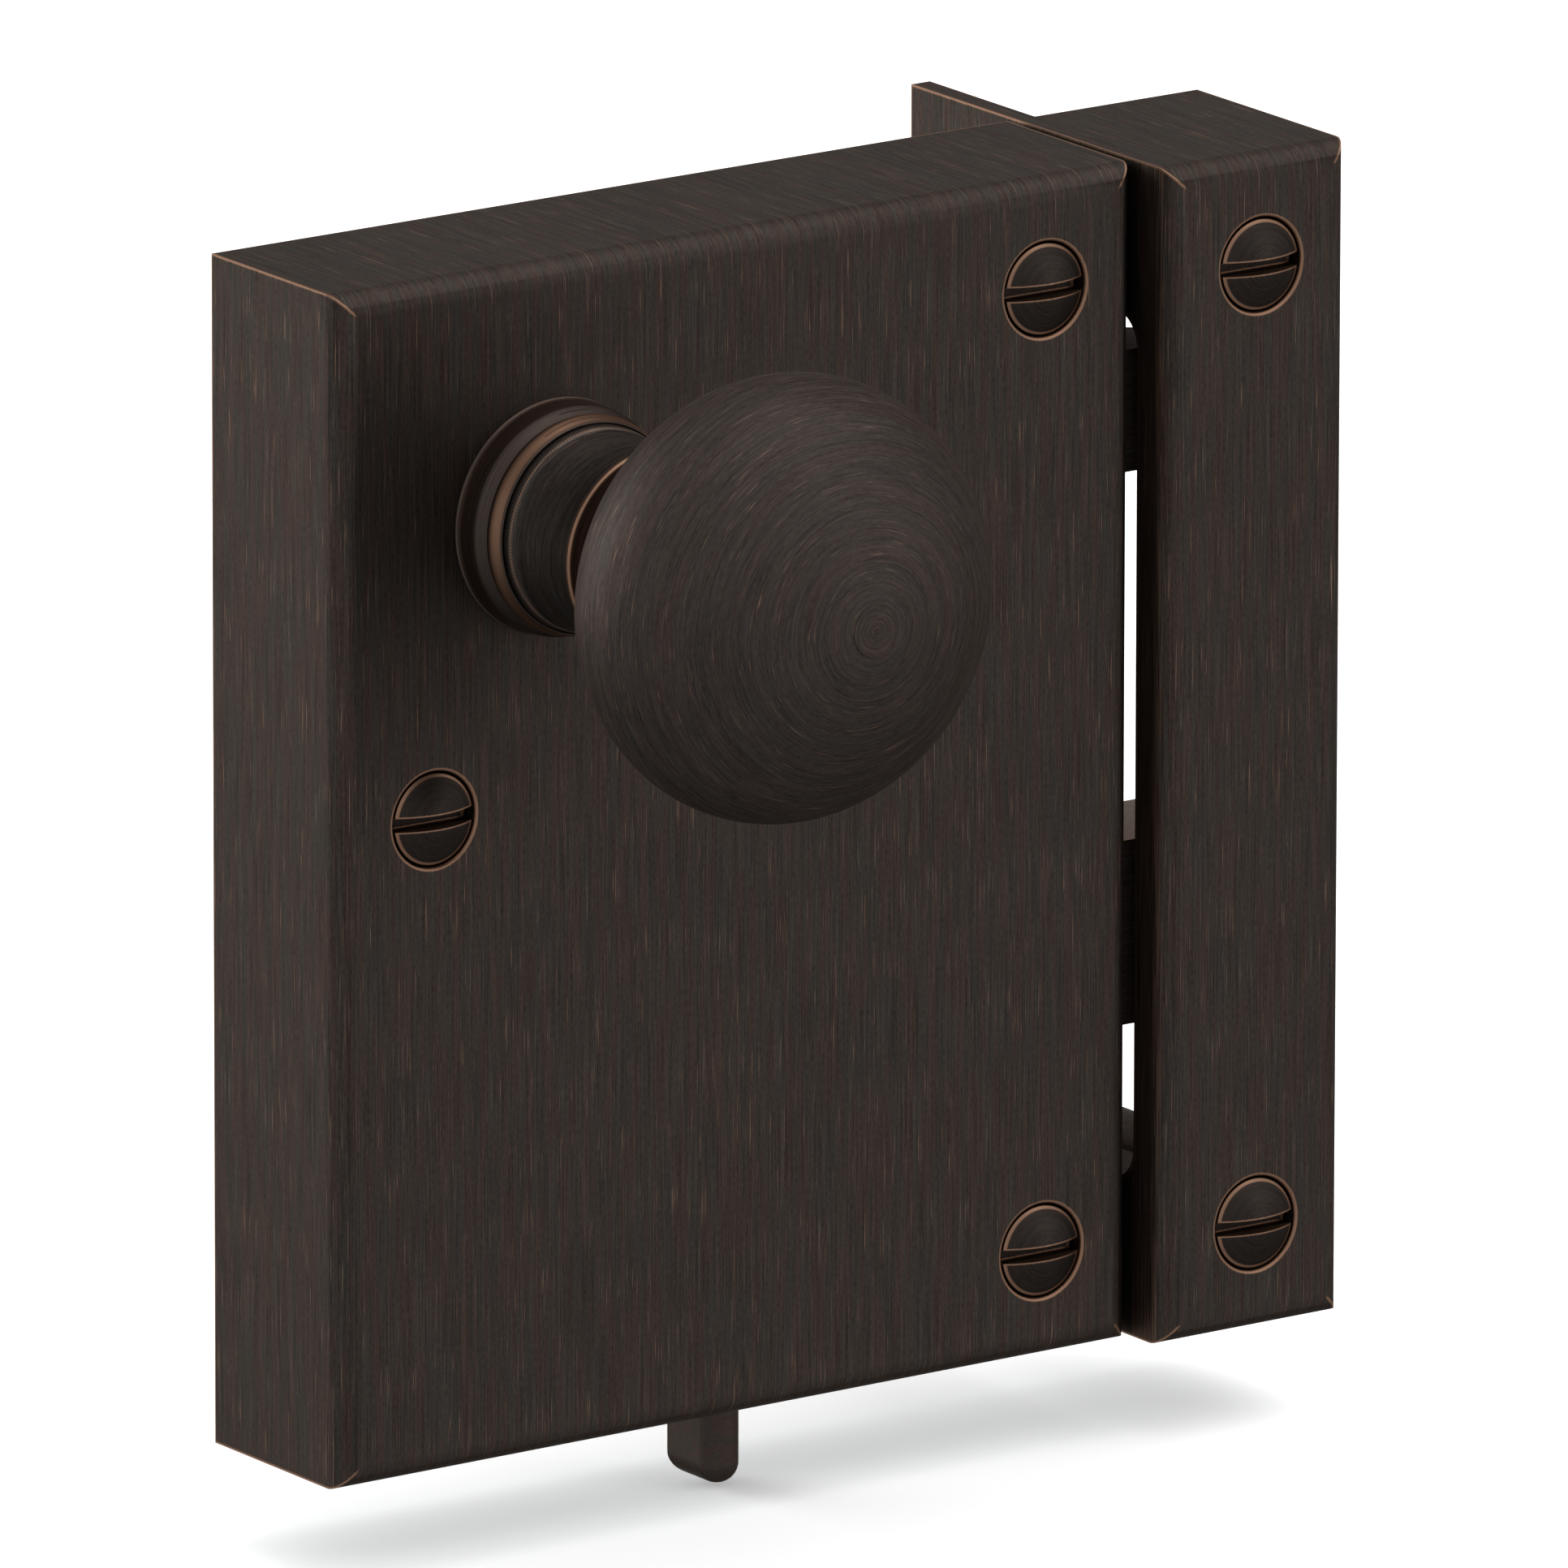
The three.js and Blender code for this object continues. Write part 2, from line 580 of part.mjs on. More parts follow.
// The toggle: a stem in the dead bolt and a thumb tab with round edges below the case.
function toggle() {
  const half = TOGGLE_WIDTH / 2;
  const section = [
    ...arc(TOGGLE_X, TOGGLE_FRONT + half, half, 180, 360, 10),
    [TOGGLE_X + half, TOGGLE_BACK],
    [TOGGLE_X - half, TOGGLE_BACK],
  ];
  const bar = plateXY(section, TOGGLE_BOTTOM, TOGGLE_TOP);
  const side = [
    [TOGGLE_BACK, TOGGLE_TOP],
    [TOGGLE_FRONT - 1, TOGGLE_TOP],
    [TOGGLE_FRONT - 1, -5],
    ...arc(TOGGLE_FRONT + 2.2, TOGGLE_BOTTOM + 2.2, 2.2, 180, 270, 6),
    ...arc(TOGGLE_BACK - 2.9, TOGGLE_BOTTOM + 2.9, 2.9, 270, 360, 6),
  ];
  const front = [
    [TOGGLE_X + half + 0.1, TOGGLE_TOP],
    [TOGGLE_X - half - 0.1, TOGGLE_TOP],
    [TOGGLE_X - half - 0.1, TOGGLE_BOTTOM + 1.7],
    ...arc(TOGGLE_X - half + 1.7, TOGGLE_BOTTOM + 1.7, 1.7, 180, 270, 5),
    ...arc(TOGGLE_X + half - 1.7, TOGGLE_BOTTOM + 1.7, 1.7, 270, 360, 5),
    [TOGGLE_X + half + 0.1, TOGGLE_BOTTOM + 1.7],
  ];
  const sides = plateYZ(side, TOGGLE_X - 4, TOGGLE_X + 4);
  const faces = plateXZ(front, TOGGLE_FRONT - 2, TOGGLE_BACK + 1);
  const hole = barY(TOGGLE_X, TOGGLE_PIN_Z, 1.15, TOGGLE_FRONT - 1, TOGGLE_BACK + 1, 16);
  return bar.intersect(sides).intersect(faces).subtract(hole);
}

// The cross pin that holds the toggle's stem in the dead bolt.
function togglePin() {
  return barY(TOGGLE_X, TOGGLE_PIN_Z, 1.05, BOLT_FRONT + 0.1, BOLT_BACK - 0.1, 16);
}

// A closed coil spring along X, behind the latch bolt.
function latchSpring() {
  const steps = COIL_TURNS * 10;
  const sides = 5;
  const points = [];
  const faces = [];
  const pitch = (COIL_END - COIL_START) / COIL_TURNS;
  const lead = pitch / (2 * Math.PI);
  for (let i = 0; i <= steps; i += 1) {
    const turn = (2 * Math.PI * COIL_TURNS * i) / steps;
    const outward = new THREE.Vector3(0, Math.cos(turn), Math.sin(turn));
    const along = new THREE.Vector3(lead, -COIL_RADIUS * Math.sin(turn), COIL_RADIUS * Math.cos(turn));
    const across = along.normalize().clone().cross(outward);
    const centre = outward.clone().multiplyScalar(COIL_RADIUS);
    centre.x = COIL_START + lead * turn;
    for (let k = 0; k < sides; k += 1) {
      const angle = (2 * Math.PI * k) / sides;
      const offset = outward.clone().multiplyScalar(Math.cos(angle) * COIL_WIRE_RADIUS);
      offset.addScaledVector(across, Math.sin(angle) * COIL_WIRE_RADIUS).add(centre);
      points.push(offset.x, offset.y, offset.z);
    }
  }
  for (let i = 0; i < steps; i += 1) {
    for (let k = 0; k < sides; k += 1) {
      const a = i * sides + k;
      const b = i * sides + ((k + 1) % sides);
      faces.push(a, b, a + sides, b, b + sides, a + sides);
    }
  }
  const last = steps * sides;
  for (let k = 1; k < sides - 1; k += 1) {
    faces.push(0, k + 1, k, last, last + k, last + k + 1);
  }
  const geometry = new THREE.BufferGeometry();
  geometry.setAttribute("position", new THREE.Float32BufferAttribute(points, 3));
  geometry.setIndex(faces);
  geometry.translate(0, (BOLT_FRONT + BOLT_BACK) / 2, (LATCH_BOTTOM + LATCH_TOP) / 2);
  return solidFrom(geometry);
}

// The post on the back plate that the latch spring pushes against.
function springStop() {
  const foot = block(34, 40, -4.2, -BACK_PLATE_THICKNESS, 88.5, 100);
  return foot.add(block(37, 40, -15.4, -BACK_PLATE_THICKNESS, 89.5, 99));
}

// The block that carries the dead bolt's friction spring.
function springBlock() {
  return block(29, 37, -15, -BACK_PLATE_THICKNESS, 51.2, 60);
}

// The bowed leaf spring that presses on the dead bolt's top edge.
function frictionLeaf() {
  const outline = [
    [29, 60],
    [37.6, 60],
    [56.4, 51.6],
    [57.4, 50.55],
    [58.6, 50.55],
    [59.6, 51.6],
    [62.5, 53.2],
    [62, 54],
    [59.1, 52.5],
    [58.2, 51.4],
    [57.8, 51.4],
    [56.9, 52.4],
    [37.9, 60.8],
    [29, 60.8],
  ];
  const strip = plateXZ(outline, -14.5, -7.5);
  return strip.subtract(block(31.3, 34.7, -12.7, -9.3, 59, 62));
}

// The screw that holds the leaf on its block.
function leafScrew() {
  const head = new THREE.CylinderGeometry(2.7, 2.7, 1.4, 20);
  head.rotateX(Math.PI / 2);
  head.translate(33, -11, 61.6);
  const neck = block(31.9, 34.1, -12.1, -9.9, 60.1, 61.5);
  const slot = block(29, 37, -11.3, -10.7, 61.7, 63);
  return solidFrom(head).add(neck).subtract(slot);
}

// The keeper: a hollow box with a slot for the bolts, and a flange for the door jamb's edge.
function keeper() {
  const inside = KEEPER_WALL;
  let shell = roundedBox(
    KEEPER_LEFT,
    KEEPER_RIGHT,
    0,
    CASE_HEIGHT,
    -KEEPER_DEPTH,
    0,
    EDGE_RADIUS,
  );
  const hollow = roundedBox(
    KEEPER_LEFT + KEEPER_SIDE_WALL,
    KEEPER_RIGHT - inside,
    inside,
    CASE_HEIGHT - inside,
    inside - KEEPER_DEPTH,
    1,
    0.6,
  );
  shell = shell.subtract(hollow);
  const flange = block(
    KEEPER_LEFT,
    KEEPER_LEFT + FLANGE_THICKNESS,
    -0.5,
    FLANGE_REACH,
    0,
    CASE_HEIGHT,
  );
  const relief = block(
    KEEPER_LEFT + KEEPER_SIDE_WALL,
    KEEPER_LEFT + 5,
    -1,
    0,
    inside,
    CASE_HEIGHT - inside,
  );
  shell = shell.add(flange.subtract(relief));
  for (const z of [SCREW_EDGE, CASE_HEIGHT - SCREW_EDGE]) {
    const boss = barY(KEEPER_SCREW_X, z, BOSS_RADIUS, 1 - KEEPER_DEPTH, -0.2, 24);
    shell = shell.add(boss).subtract(screwHole([KEEPER_SCREW_X, z], -KEEPER_DEPTH));
  }
  shell = shell.subtract(keeperSlot(KEEPER_LEFT - 1, KEEPER_LEFT + 3));
  for (const z of LINER_SCREW_HEIGHTS) {
    shell = shell.subtract(smallHoleFromLeft(KEEPER_LEFT, LINER_SCREW_Y, z, 3));
  }
  for (const z of FLANGE_SCREW_HEIGHTS) {
    shell = shell.subtract(flangeHole(z));
  }
  return shell;
}

// The tall slot that both bolts enter.
function keeperSlot(x0, x1) {
  const outline = slotOutline(
    KEEPER_SLOT_FRONT,
    KEEPER_SLOT_BACK,
    KEEPER_SLOT_BOTTOM,
    KEEPER_SLOT_TOP,
    KEEPER_SLOT_CORNER,
  );
  return plateYZ(outline, x0, x1);
}

// A countersunk hole for a small screw driven in from the left.
function smallHoleFromLeft(x, y, z, depth) {
  const hole = smallHoleFromBack(0, 0, depth + 1);
  return hole.rotate([0, 0, 90]).translate([x, y, z]);
}

// The bar behind the keeper's slot that takes the wear of the bolts.
function keeperLiner() {
  const left = KEEPER_LEFT + KEEPER_SIDE_WALL + LINER_GAP;
  const right = left + LINER_THICKNESS;
  let bar = block(left, right, 0.8 - KEEPER_DEPTH + KEEPER_WALL, -1.2, 3.2, CASE_HEIGHT - 3.2);
  for (const z of [SCREW_EDGE, CASE_HEIGHT - SCREW_EDGE]) {
    bar = bar.subtract(barY(KEEPER_SCREW_X, z, BOSS_RADIUS + 0.35, -30, 2, 24));
  }
  for (const z of LINER_SCREW_HEIGHTS) {
    bar = bar.subtract(barX(LINER_SCREW_Y, z, SMALL_HOLE_RADIUS, left - 1, right + 1, 12));
  }
  return bar.subtract(keeperSlot(left - 1, right + 1));
}

// One screw that holds the liner, its head flush with the keeper's left face.
function linerScrew() {
  const length = 5.4;
  const body = turned(
    [
      [0, -0.1],
      [SMALL_HEAD_RADIUS, -0.1],
      [SMALL_SHANK_RADIUS, -SMALL_HEAD_DEPTH],
      [SMALL_SHANK_RADIUS, -length],
      [0, -length],
    ],
    12,
  );
  return body.subtract(block(-4, 4, -0.6, 1, -0.35, 0.35)).rotate([0, 0, 90]);
}

// The countersunk hole of a flange screw.
function flangeHole(z) {
  const cone = turned(
    [
      [0, 0.5],
      [4.6, 0.5],
      [4.1, 0],
      [2.2, -1.9],
      [2.2, -6],
      [0, -6],
    ],
    20,
  );
  return cone.rotate([0, 0, 90]).translate([KEEPER_LEFT, FLANGE_REACH / 2, z]);
}

// A wood screw through the flange into the jamb.
function flangeScrew() {
  const body = turned(
    [
      [0, -0.1],
      [3.85, -0.1],
      [1.9, -1.95],
      [1.9, -13],
      [0.4, -18],
      [0, -18],
    ],
    16,
  );
  return body.subtract(block(-6, 6, -0.9, 1, -0.5, 0.5)).rotate([0, 0, 90]);
}

// A named mesh of one solid, placed in its group.
function piece(name, solid, material, x = 0, y = 0, z = 0) {
  const { vertProperties, triVerts } = solid.getMesh();
  const geometry = new THREE.BufferGeometry();
  geometry.setAttribute("position", new THREE.BufferAttribute(new Float32Array(vertProperties), 3));
  geometry.setIndex(new THREE.BufferAttribute(new Uint32Array(triVerts), 1));
  geometry.computeVertexNormals();
  const mesh = new THREE.Mesh(geometry, material);
  mesh.name = name;
  mesh.position.set(x, y, z);
  return mesh;
}

// A group of pieces that share one place.
function assembly(name, pieces, x = 0, z = 0) {
  const group = new THREE.Group();
  group.name = name;
  group.add(...pieces);
  group.position.set(x, 0, z);
  return group;
}

// The case, what closes it and what holds it to the door.
function caseAssembly() {
  const screw = domedScrew(-CASE_DEPTH, SCREW_REACH);
  const places = { top: CASE_SCREW_TOP, left: CASE_SCREW_LEFT, bottom: CASE_SCREW_BOTTOM };
  const screws = Object.entries(places).map(([side, [x, z]]) =>
    piece(`case_screw_${side}`, screw, BRONZE_SCREW, x, 0, z),
  );
  const closing = BACK_POSTS.map(([x, z], i) =>
    piece(`back_screw_${i + 1}`, backScrew(), PLATE_STEEL, x, 0, z),
  );
  return assembly("case_assembly", [
    piece("lock_case", lockCase(), BRONZE),
    piece("back_plate", backPlate(), PLATE_STEEL),
    ...screws,
    ...closing,
  ]);
}

// Everything that is centred on the knob's axis.
function knobAssembly() {
  const pieces = [
    piece("rosette", rosette(), BRONZE),
    piece("knob_neck", knobNeck(), BRONZE),
    piece("knob", knob(), BRONZE),
    piece("knob_set_screw", knobSetScrew(), PLATE_STEEL),
    piece("spindle", spindle(), PLATE_STEEL),
    piece("hub", hub(), PLATE_STEEL),
  ];
  return assembly("knob_assembly", pieces, KNOB_X, KNOB_Z);
}

// The spring latch with its spring, stop and guide stud.
function latchAssembly() {
  const headBack = TAIL_PLATE_FRONT - 0.4;
  return assembly("latch_assembly", [
    piece("latch_bolt", latchBolt(), BRONZE),
    piece("latch_spring", latchSpring(), SPRING_STEEL),
    piece("spring_stop", springStop(), PLATE_STEEL),
    piece("latch_stud", guideStud(LATCH_STUD, headBack, headBack - 1.6), PLATE_STEEL),
  ]);
}

// The dead bolt with its toggle, guide stud and friction spring.
function deadBoltAssembly() {
  return assembly("dead_bolt_assembly", [
    piece("dead_bolt", deadBolt(), BRONZE),
    piece("toggle", toggle(), BRONZE),
    piece("toggle_pin", togglePin(), PLATE_STEEL),
    piece("bolt_stud", guideStud(BOLT_STUD, -11.5, -13.5), PLATE_STEEL),
    piece("spring_block", springBlock(), PLATE_STEEL),
    piece("friction_leaf", frictionLeaf(), SPRING_STEEL),
    piece("leaf_screw", leafScrew(), PLATE_STEEL),
  ]);
}

// The keeper with its liner and all of its screws.
function keeperAssembly() {
  const pieces = [
    piece("keeper", keeper(), BRONZE),
    piece("keeper_liner", keeperLiner(), PLATE_STEEL),
  ];
  const heights = { bottom: 0, top: 1 };
  const domed = domedScrew(-KEEPER_DEPTH, SCREW_REACH);
  for (const [side, i] of Object.entries(heights)) {
    const edge = i === 0 ? SCREW_EDGE : CASE_HEIGHT - SCREW_EDGE;
    const linerZ = LINER_SCREW_HEIGHTS[i];
    const flangeZ = FLANGE_SCREW_HEIGHTS[i];
    pieces.push(
      piece(`keeper_screw_${side}`, domed, BRONZE_SCREW, KEEPER_SCREW_X, 0, edge),
      piece(`liner_screw_${side}`, linerScrew(), PLATE_STEEL, KEEPER_LEFT, LINER_SCREW_Y, linerZ),
      piece(`flange_screw_${side}`, flangeScrew(), BRONZE_SCREW, KEEPER_LEFT, FLANGE_REACH / 2, flangeZ),
    );
  }
  return assembly("keeper_assembly", pieces);
}

// The frame's zero is the centre of the case's back face.
const lock = new THREE.Group();
lock.name = "toggle_bolt_latch";
const fromCorner = assembly(
  "from_corner",
  [caseAssembly(), knobAssembly(), latchAssembly(), deadBoltAssembly(), keeperAssembly()],
  -CASE_WIDTH / 2,
  -CASE_HEIGHT / 2,
);
lock.add(fromCorner);

export default lock;
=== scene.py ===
"""Rim lock with a turned knob, a spring latch, a toggle-thrown dead bolt and a box keeper.

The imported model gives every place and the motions. This script shapes the pieces that show and
gives each one its finish: brushed dark bronze that has worn to copper along its edges.
"""

import logging
import math
from collections.abc import Callable, Iterable, Sequence
from dataclasses import dataclass
from enum import Enum

import bmesh
import bpy
from mathutils import Matrix, Vector


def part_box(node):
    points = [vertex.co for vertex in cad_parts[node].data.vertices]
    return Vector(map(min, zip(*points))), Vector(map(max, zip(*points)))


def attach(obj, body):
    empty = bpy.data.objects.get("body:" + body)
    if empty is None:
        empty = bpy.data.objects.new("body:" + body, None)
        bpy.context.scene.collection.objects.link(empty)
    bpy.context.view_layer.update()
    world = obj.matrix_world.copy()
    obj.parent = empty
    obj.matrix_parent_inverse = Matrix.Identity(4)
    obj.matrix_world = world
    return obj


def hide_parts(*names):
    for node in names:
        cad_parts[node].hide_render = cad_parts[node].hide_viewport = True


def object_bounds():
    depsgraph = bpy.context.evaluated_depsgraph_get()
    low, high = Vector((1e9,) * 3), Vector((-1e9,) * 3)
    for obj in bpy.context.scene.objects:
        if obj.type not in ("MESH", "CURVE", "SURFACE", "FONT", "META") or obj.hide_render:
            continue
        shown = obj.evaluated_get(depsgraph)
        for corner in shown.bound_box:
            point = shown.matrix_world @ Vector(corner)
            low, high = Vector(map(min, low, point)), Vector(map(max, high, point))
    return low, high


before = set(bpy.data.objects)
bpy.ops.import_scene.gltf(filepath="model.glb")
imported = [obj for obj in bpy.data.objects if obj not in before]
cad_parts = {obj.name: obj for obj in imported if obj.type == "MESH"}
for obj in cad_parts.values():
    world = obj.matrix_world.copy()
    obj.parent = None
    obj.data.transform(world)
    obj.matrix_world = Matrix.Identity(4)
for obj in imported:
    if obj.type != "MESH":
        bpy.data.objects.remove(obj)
CAD_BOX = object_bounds()

LOG = logging.getLogger("rim_lock")
MM = 0.001
PER_MM = 1000.0
SHARP_ANGLE = math.radians(32)
SOFTEN_ANGLE = math.radians(40)
FLAT_ANGLE = math.radians(1)
WELD = 1e-6
LARGEST_FACE_WEIGHT = 100
ENDS = ("top", "bottom")

# Sides of a full turn on pieces that are hidden, small or seen closely.
COARSE = 32
MEDIUM = 64
FINE = 96

# How far, in millimetres, a cutting solid runs past what it cuts, a joined solid starts inside
# the wall that it stands on, and a screw's shank starts inside its head.
PAST = 1.0
BURIED = 1.0
SHANK_OVERLAP = 0.2

Socket = bpy.types.NodeSocket
Value = Socket | float
Colour = tuple[float, float, float]
Point2 = tuple[float, float]
WearRule = Callable[["Graph", "Place"], Value]


# ---------------------------------------------------------------------------
# Shapes
# ---------------------------------------------------------------------------


@dataclass(frozen=True)
class Turn:
    """One corner of a turned profile, in millimetres.

    Args:
        radius: Distance from the axis.
        out: Distance along the axis, outwards.
        ease: Share of each neighbouring side that the corner's rounding takes, up to 0.5.
        wear: How far the finish has worn to copper there, from 0 to 1. On the rosette's side it is
            partly, and on the neck's end face wholly, painted light.
    """

    radius: float
    out: float
    ease: float = 0.0
    wear: float = 0.0


def eased(profile: Sequence[Turn], steps: int = 6) -> list[Turn]:
    """Rounds the corners of a profile.

    Args:
        profile: The corners in order.
        steps: How many pieces each rounding has.

    Returns:
        The profile with a short curve in place of each eased corner.
    """
    made: list[Turn] = []
    for index, corner in enumerate(profile):
        if corner.ease <= 0 or index in (0, len(profile) - 1):
            made.append(corner)
            continue
        before, after = profile[index - 1], profile[index + 1]
        for step in range(steps + 1):
            share = step / steps
            back, ahead = (1 - share) ** 2 * corner.ease, share**2 * corner.ease
            keep = 1 - back - ahead
            radius = keep * corner.radius + back * before.radius + ahead * after.radius
            out = keep * corner.out + back * before.out + ahead * after.out
            wear = keep * corner.wear + back * before.wear + ahead * after.wear
            made.append(Turn(radius, out, 0.0, wear))
    return made


def quarter(steps: int, first: float = 0.0, last: float = 90.0) -> list[Point2]:
    """Cosine and sine of evenly spaced angles.

    Args:
        steps: How many steps there are between the first and the last angle.
        first: First angle in degrees.
        last: Last angle in degrees.

    Returns:
        One (cosine, sine) pair for each angle.
    """
    angles = [math.radians(first + (last - first) * i / steps) for i in range(steps + 1)]
    return [(math.cos(angle), math.sin(angle)) for angle in angles]


class Axis(Enum):
    """Which way a turned piece's outward direction points."""

    FRONT = "front"
    LEFT = "left"
    BACK = "back"

    def place(self, angle: float, radius: float, out: float) -> Vector:
        """Puts a point of a turned piece in the frame's axes.

        Args:
            angle: Turn about the axis in radians.
            radius: Distance from the axis.
            out: Distance outwards along the axis.

        Returns:
            The point, in the same unit as radius and out.
        """
        across, up = radius * math.cos(angle), radius * math.sin(angle)
        if self is Axis.LEFT:
            return Vector((-out, across, up))
        return Vector((across, -out if self is Axis.FRONT else out, up))


def empty_mesh() -> bmesh.types.BMesh:
    """A mesh with nothing in it yet, whose corners can each have a wear value."""
    mesh = bmesh.new()
    mesh.verts.layers.float.new("wear")
    return mesh


def stacked(
    mesh: bmesh.types.BMesh, rings: Sequence[Sequence[bmesh.types.BMVert]]
) -> bmesh.types.BMesh:
    """Closes a stack of rings with sides and two ends.

    Args:
        mesh: The mesh that has the rings' corners.
        rings: The rings from one end to the other, each with as many corners.

    Returns:
        The same mesh, closed.
    """
    for low, high in zip(rings, rings[1:]):
        for index in range(len(low)):
            after = (index + 1) % len(low)
            mesh.faces.new([low[index], low[after], high[after], high[index]])
    mesh.faces.new(rings[0])
    mesh.faces.new(rings[-1])
    bmesh.ops.recalc_face_normals(mesh, faces=mesh.faces)
    return mesh


def turned(profile: Sequence[Turn], sides: int, axis: Axis = Axis.FRONT) -> bmesh.types.BMesh:
    """Turns a closed profile about an axis.

    Args:
        profile: The corners in order. Where a radius is 0 the piece closes on its axis.
        sides: How many sides a full turn has.
        axis: Which way outwards points.

    Returns:
        A closed mesh in metres with a wear value at each corner.
    """
    mesh = empty_mesh()
    wear = mesh.verts.layers.float["wear"]
    rings: list[list[bmesh.types.BMVert]] = []
    for corner in profile:
        ring = []
        for index in range(sides if corner.radius else 1):
            angle = 2 * math.pi * index / sides
            vert = mesh.verts.new(axis.place(angle, corner.radius, corner.out) * MM)
            vert[wear] = corner.wear
            ring.append(vert)
        rings.append(ring)
    for low, high in zip(rings, rings[1:] + rings[:1]):
        for index in range(sides):
            after = (index + 1) % sides
            corners = [low[index % len(low)], low[after % len(low)]]
            corners += [high[after % len(high)], high[index % len(high)]]
            unique = list(dict.fromkeys(corners))
            if len(unique) > 2:
                mesh.faces.new(unique)
    bmesh.ops.recalc_face_normals(mesh, faces=mesh.faces)
    return mesh


def prism(outline: Sequence[Point2], low: float, high: float, along: str) -> bmesh.types.BMesh:
    """A flat outline made thick.

    Args:
        outline: Corners in millimetres, in the two axes other than `along`, in X, Y, Z order.
        low: Where the piece starts along the axis.
        high: Where it ends.
        along: "x", "y" or "z".

    Returns:
        A closed mesh in metres.
    """
    mesh = empty_mesh()
    order = {"x": (2, 0, 1), "y": (0, 2, 1), "z": (0, 1, 2)}[along]
    rings = []
    for level in (low, high):
        ring = []
        for first, second in outline:
            values = (first, second, level)
            ring.append(mesh.verts.new(Vector([values[i] for i in order]) * MM))
        rings.append(ring)
    return stacked(mesh, rings)


def block(x: Point2, y: Point2, z: Point2) -> bmesh.types.BMesh:
    """A box from its three ranges in millimetres."""
    outline = [(x[0], y[0]), (x[1], y[0]), (x[1], y[1]), (x[0], y[1])]
    return prism(outline, z[0], z[1], "z")


def round_rectangle(a: Point2, b: Point2, radius: float, steps: int = 8) -> list[Point2]:
    """Outline of a rectangle with round corners.

    Args:
        a: Low and high of the first axis.
        b: Low and high of the second axis.
        radius: Corner radius.
        steps: Pieces in each corner.

    Returns:
        The outline's corners in order.
    """
    centres = [(a[1], b[1], 0), (a[0], b[1], 90), (a[0], b[0], 180), (a[1], b[0], 270)]
    outline = []
    for first, second, start in centres:
        middle = (
            first + (radius if first == a[0] else -radius),
            second + (radius if second == b[0] else -radius),
        )
        for cosine, sine in quarter(steps, start, start + 90):
            outline.append((middle[0] + radius * cosine, middle[1] + radius * sine))
    return outline


def pan(
    width: float, height: float, depth: float, wall: float, radius: float, chamfer: float = 0.6
) -> bmesh.types.BMesh:
    """A deep pan, open at the back, whose round front edges meet in mitres.

    Args:
        width: Size along X in millimetres, from 0.
        height: Size along Z, from 0.
        depth: Size from the back plane at Y 0 to the front.
        wall: Thickness of the walls and the front.
        radius: Radius of the front edges.
        chamfer: Width of the chamfer behind them, inside the pan.

    Returns:
        A closed mesh in metres.
    """
    path = [(0.0, 0.0)]
    path += [(radius * (1 - c), radius * (1 - s) - depth) for c, s in quarter(14)]
    front = len(path) - 1
    path += [(wall + chamfer, wall - depth), (wall, wall + chamfer - depth), (wall, 0.0)]
    mesh = empty_mesh()
    loops = []
    for inset, y in path:
        x, z = (inset, width - inset), (inset, height - inset)
        corners = [(x[0], z[0]), (x[1], z[0]), (x[1], z[1]), (x[0], z[1])]
        loops.append([mesh.verts.new(Vector((cx, y, cz)) * MM) for cx, cz in corners])
    for first, (low, high) in enumerate(zip(loops, loops[1:] + loops[:1])):
        if first == front:
            continue
        for index in range(4):
            after = (index + 1) % 4
            mesh.faces.new([low[index], low[after], high[after], high[index]])
    mesh.faces.new(loops[front])
    mesh.faces.new(loops[front + 1])
    bmesh.ops.recalc_face_normals(mesh, faces=mesh.faces)
    return mesh


@dataclass(frozen=True)
class Shank:
    """A wood screw's shank: plain at first, then threaded, with a drawn point.

    Args:
        radius: Its outer radius in millimetres.
        pitch: Distance between two turns of its thread.
        core: Share of the radius that the thread leaves.
        plain: Share of the length without a thread.
        point: Share of the length that the point takes.
        tip: Share of the radius that is left at the very end.
        steepness: How steeply the thread's ridge rises.
        rows: Rows of corners in one turn of the thread.
        sides: Sides of a full turn.
    """

    radius: float
    pitch: float
    core: float = 0.7
    plain: float = 0.12
    point: float = 0.3
    tip: float = 0.12
    steepness: float = 3.4
    rows: int = 9
    sides: int = 28

    def solid(self, start: float, end: float, axis: Axis) -> bmesh.types.BMesh:
        """Makes the shank.

        Args:
            start: Where it begins, as a distance outwards (it runs inwards from there).
            end: Where its point is.
            axis: Which way outwards points.

        Returns:
            A closed mesh in metres.
        """
        mesh = empty_mesh()
        rows = int(abs(end - start) / (self.pitch / self.rows))
        rings = []
        for row in range(rows + 1):
            share = row / rows
            out = start + (end - start) * share
            drawn = self.tip + (1 - self.tip) * min(1.0, (1 - share) / self.point)
            ring = []
            for index in range(self.sides):
                turn = index / self.sides
                phase = (out / self.pitch - turn) % 1.0
                ridge = max(0.0, 1 - abs(phase - 0.5) * self.steepness)
                height = 1.0 if share < self.plain else ridge
                size = self.radius * (self.core + (1 - self.core) * height) * drawn
                ring.append(mesh.verts.new(axis.place(2 * math.pi * turn, size, out) * MM))
            rings.append(ring)
        return stacked(mesh, rings)


def to_object(name: str, mesh: bmesh.types.BMesh, at: Vector | None = None) -> bpy.types.Object:
    """Makes a scene object from a mesh.

    Args:
        name: The object's name.
        mesh: The shape in metres. It is freed.
        at: Where the object's own zero goes.

    Returns:
        The new object.
    """
    data = bpy.data.meshes.new(name)
    mesh.to_mesh(data)
    mesh.free()
    made = bpy.data.objects.new(name, data)
    bpy.context.scene.collection.objects.link(made)
    made.location = at or Vector()
    return made


class Work(Enum):
    """How one solid changes another."""

    CUT = "DIFFERENCE"
    JOIN = "UNION"


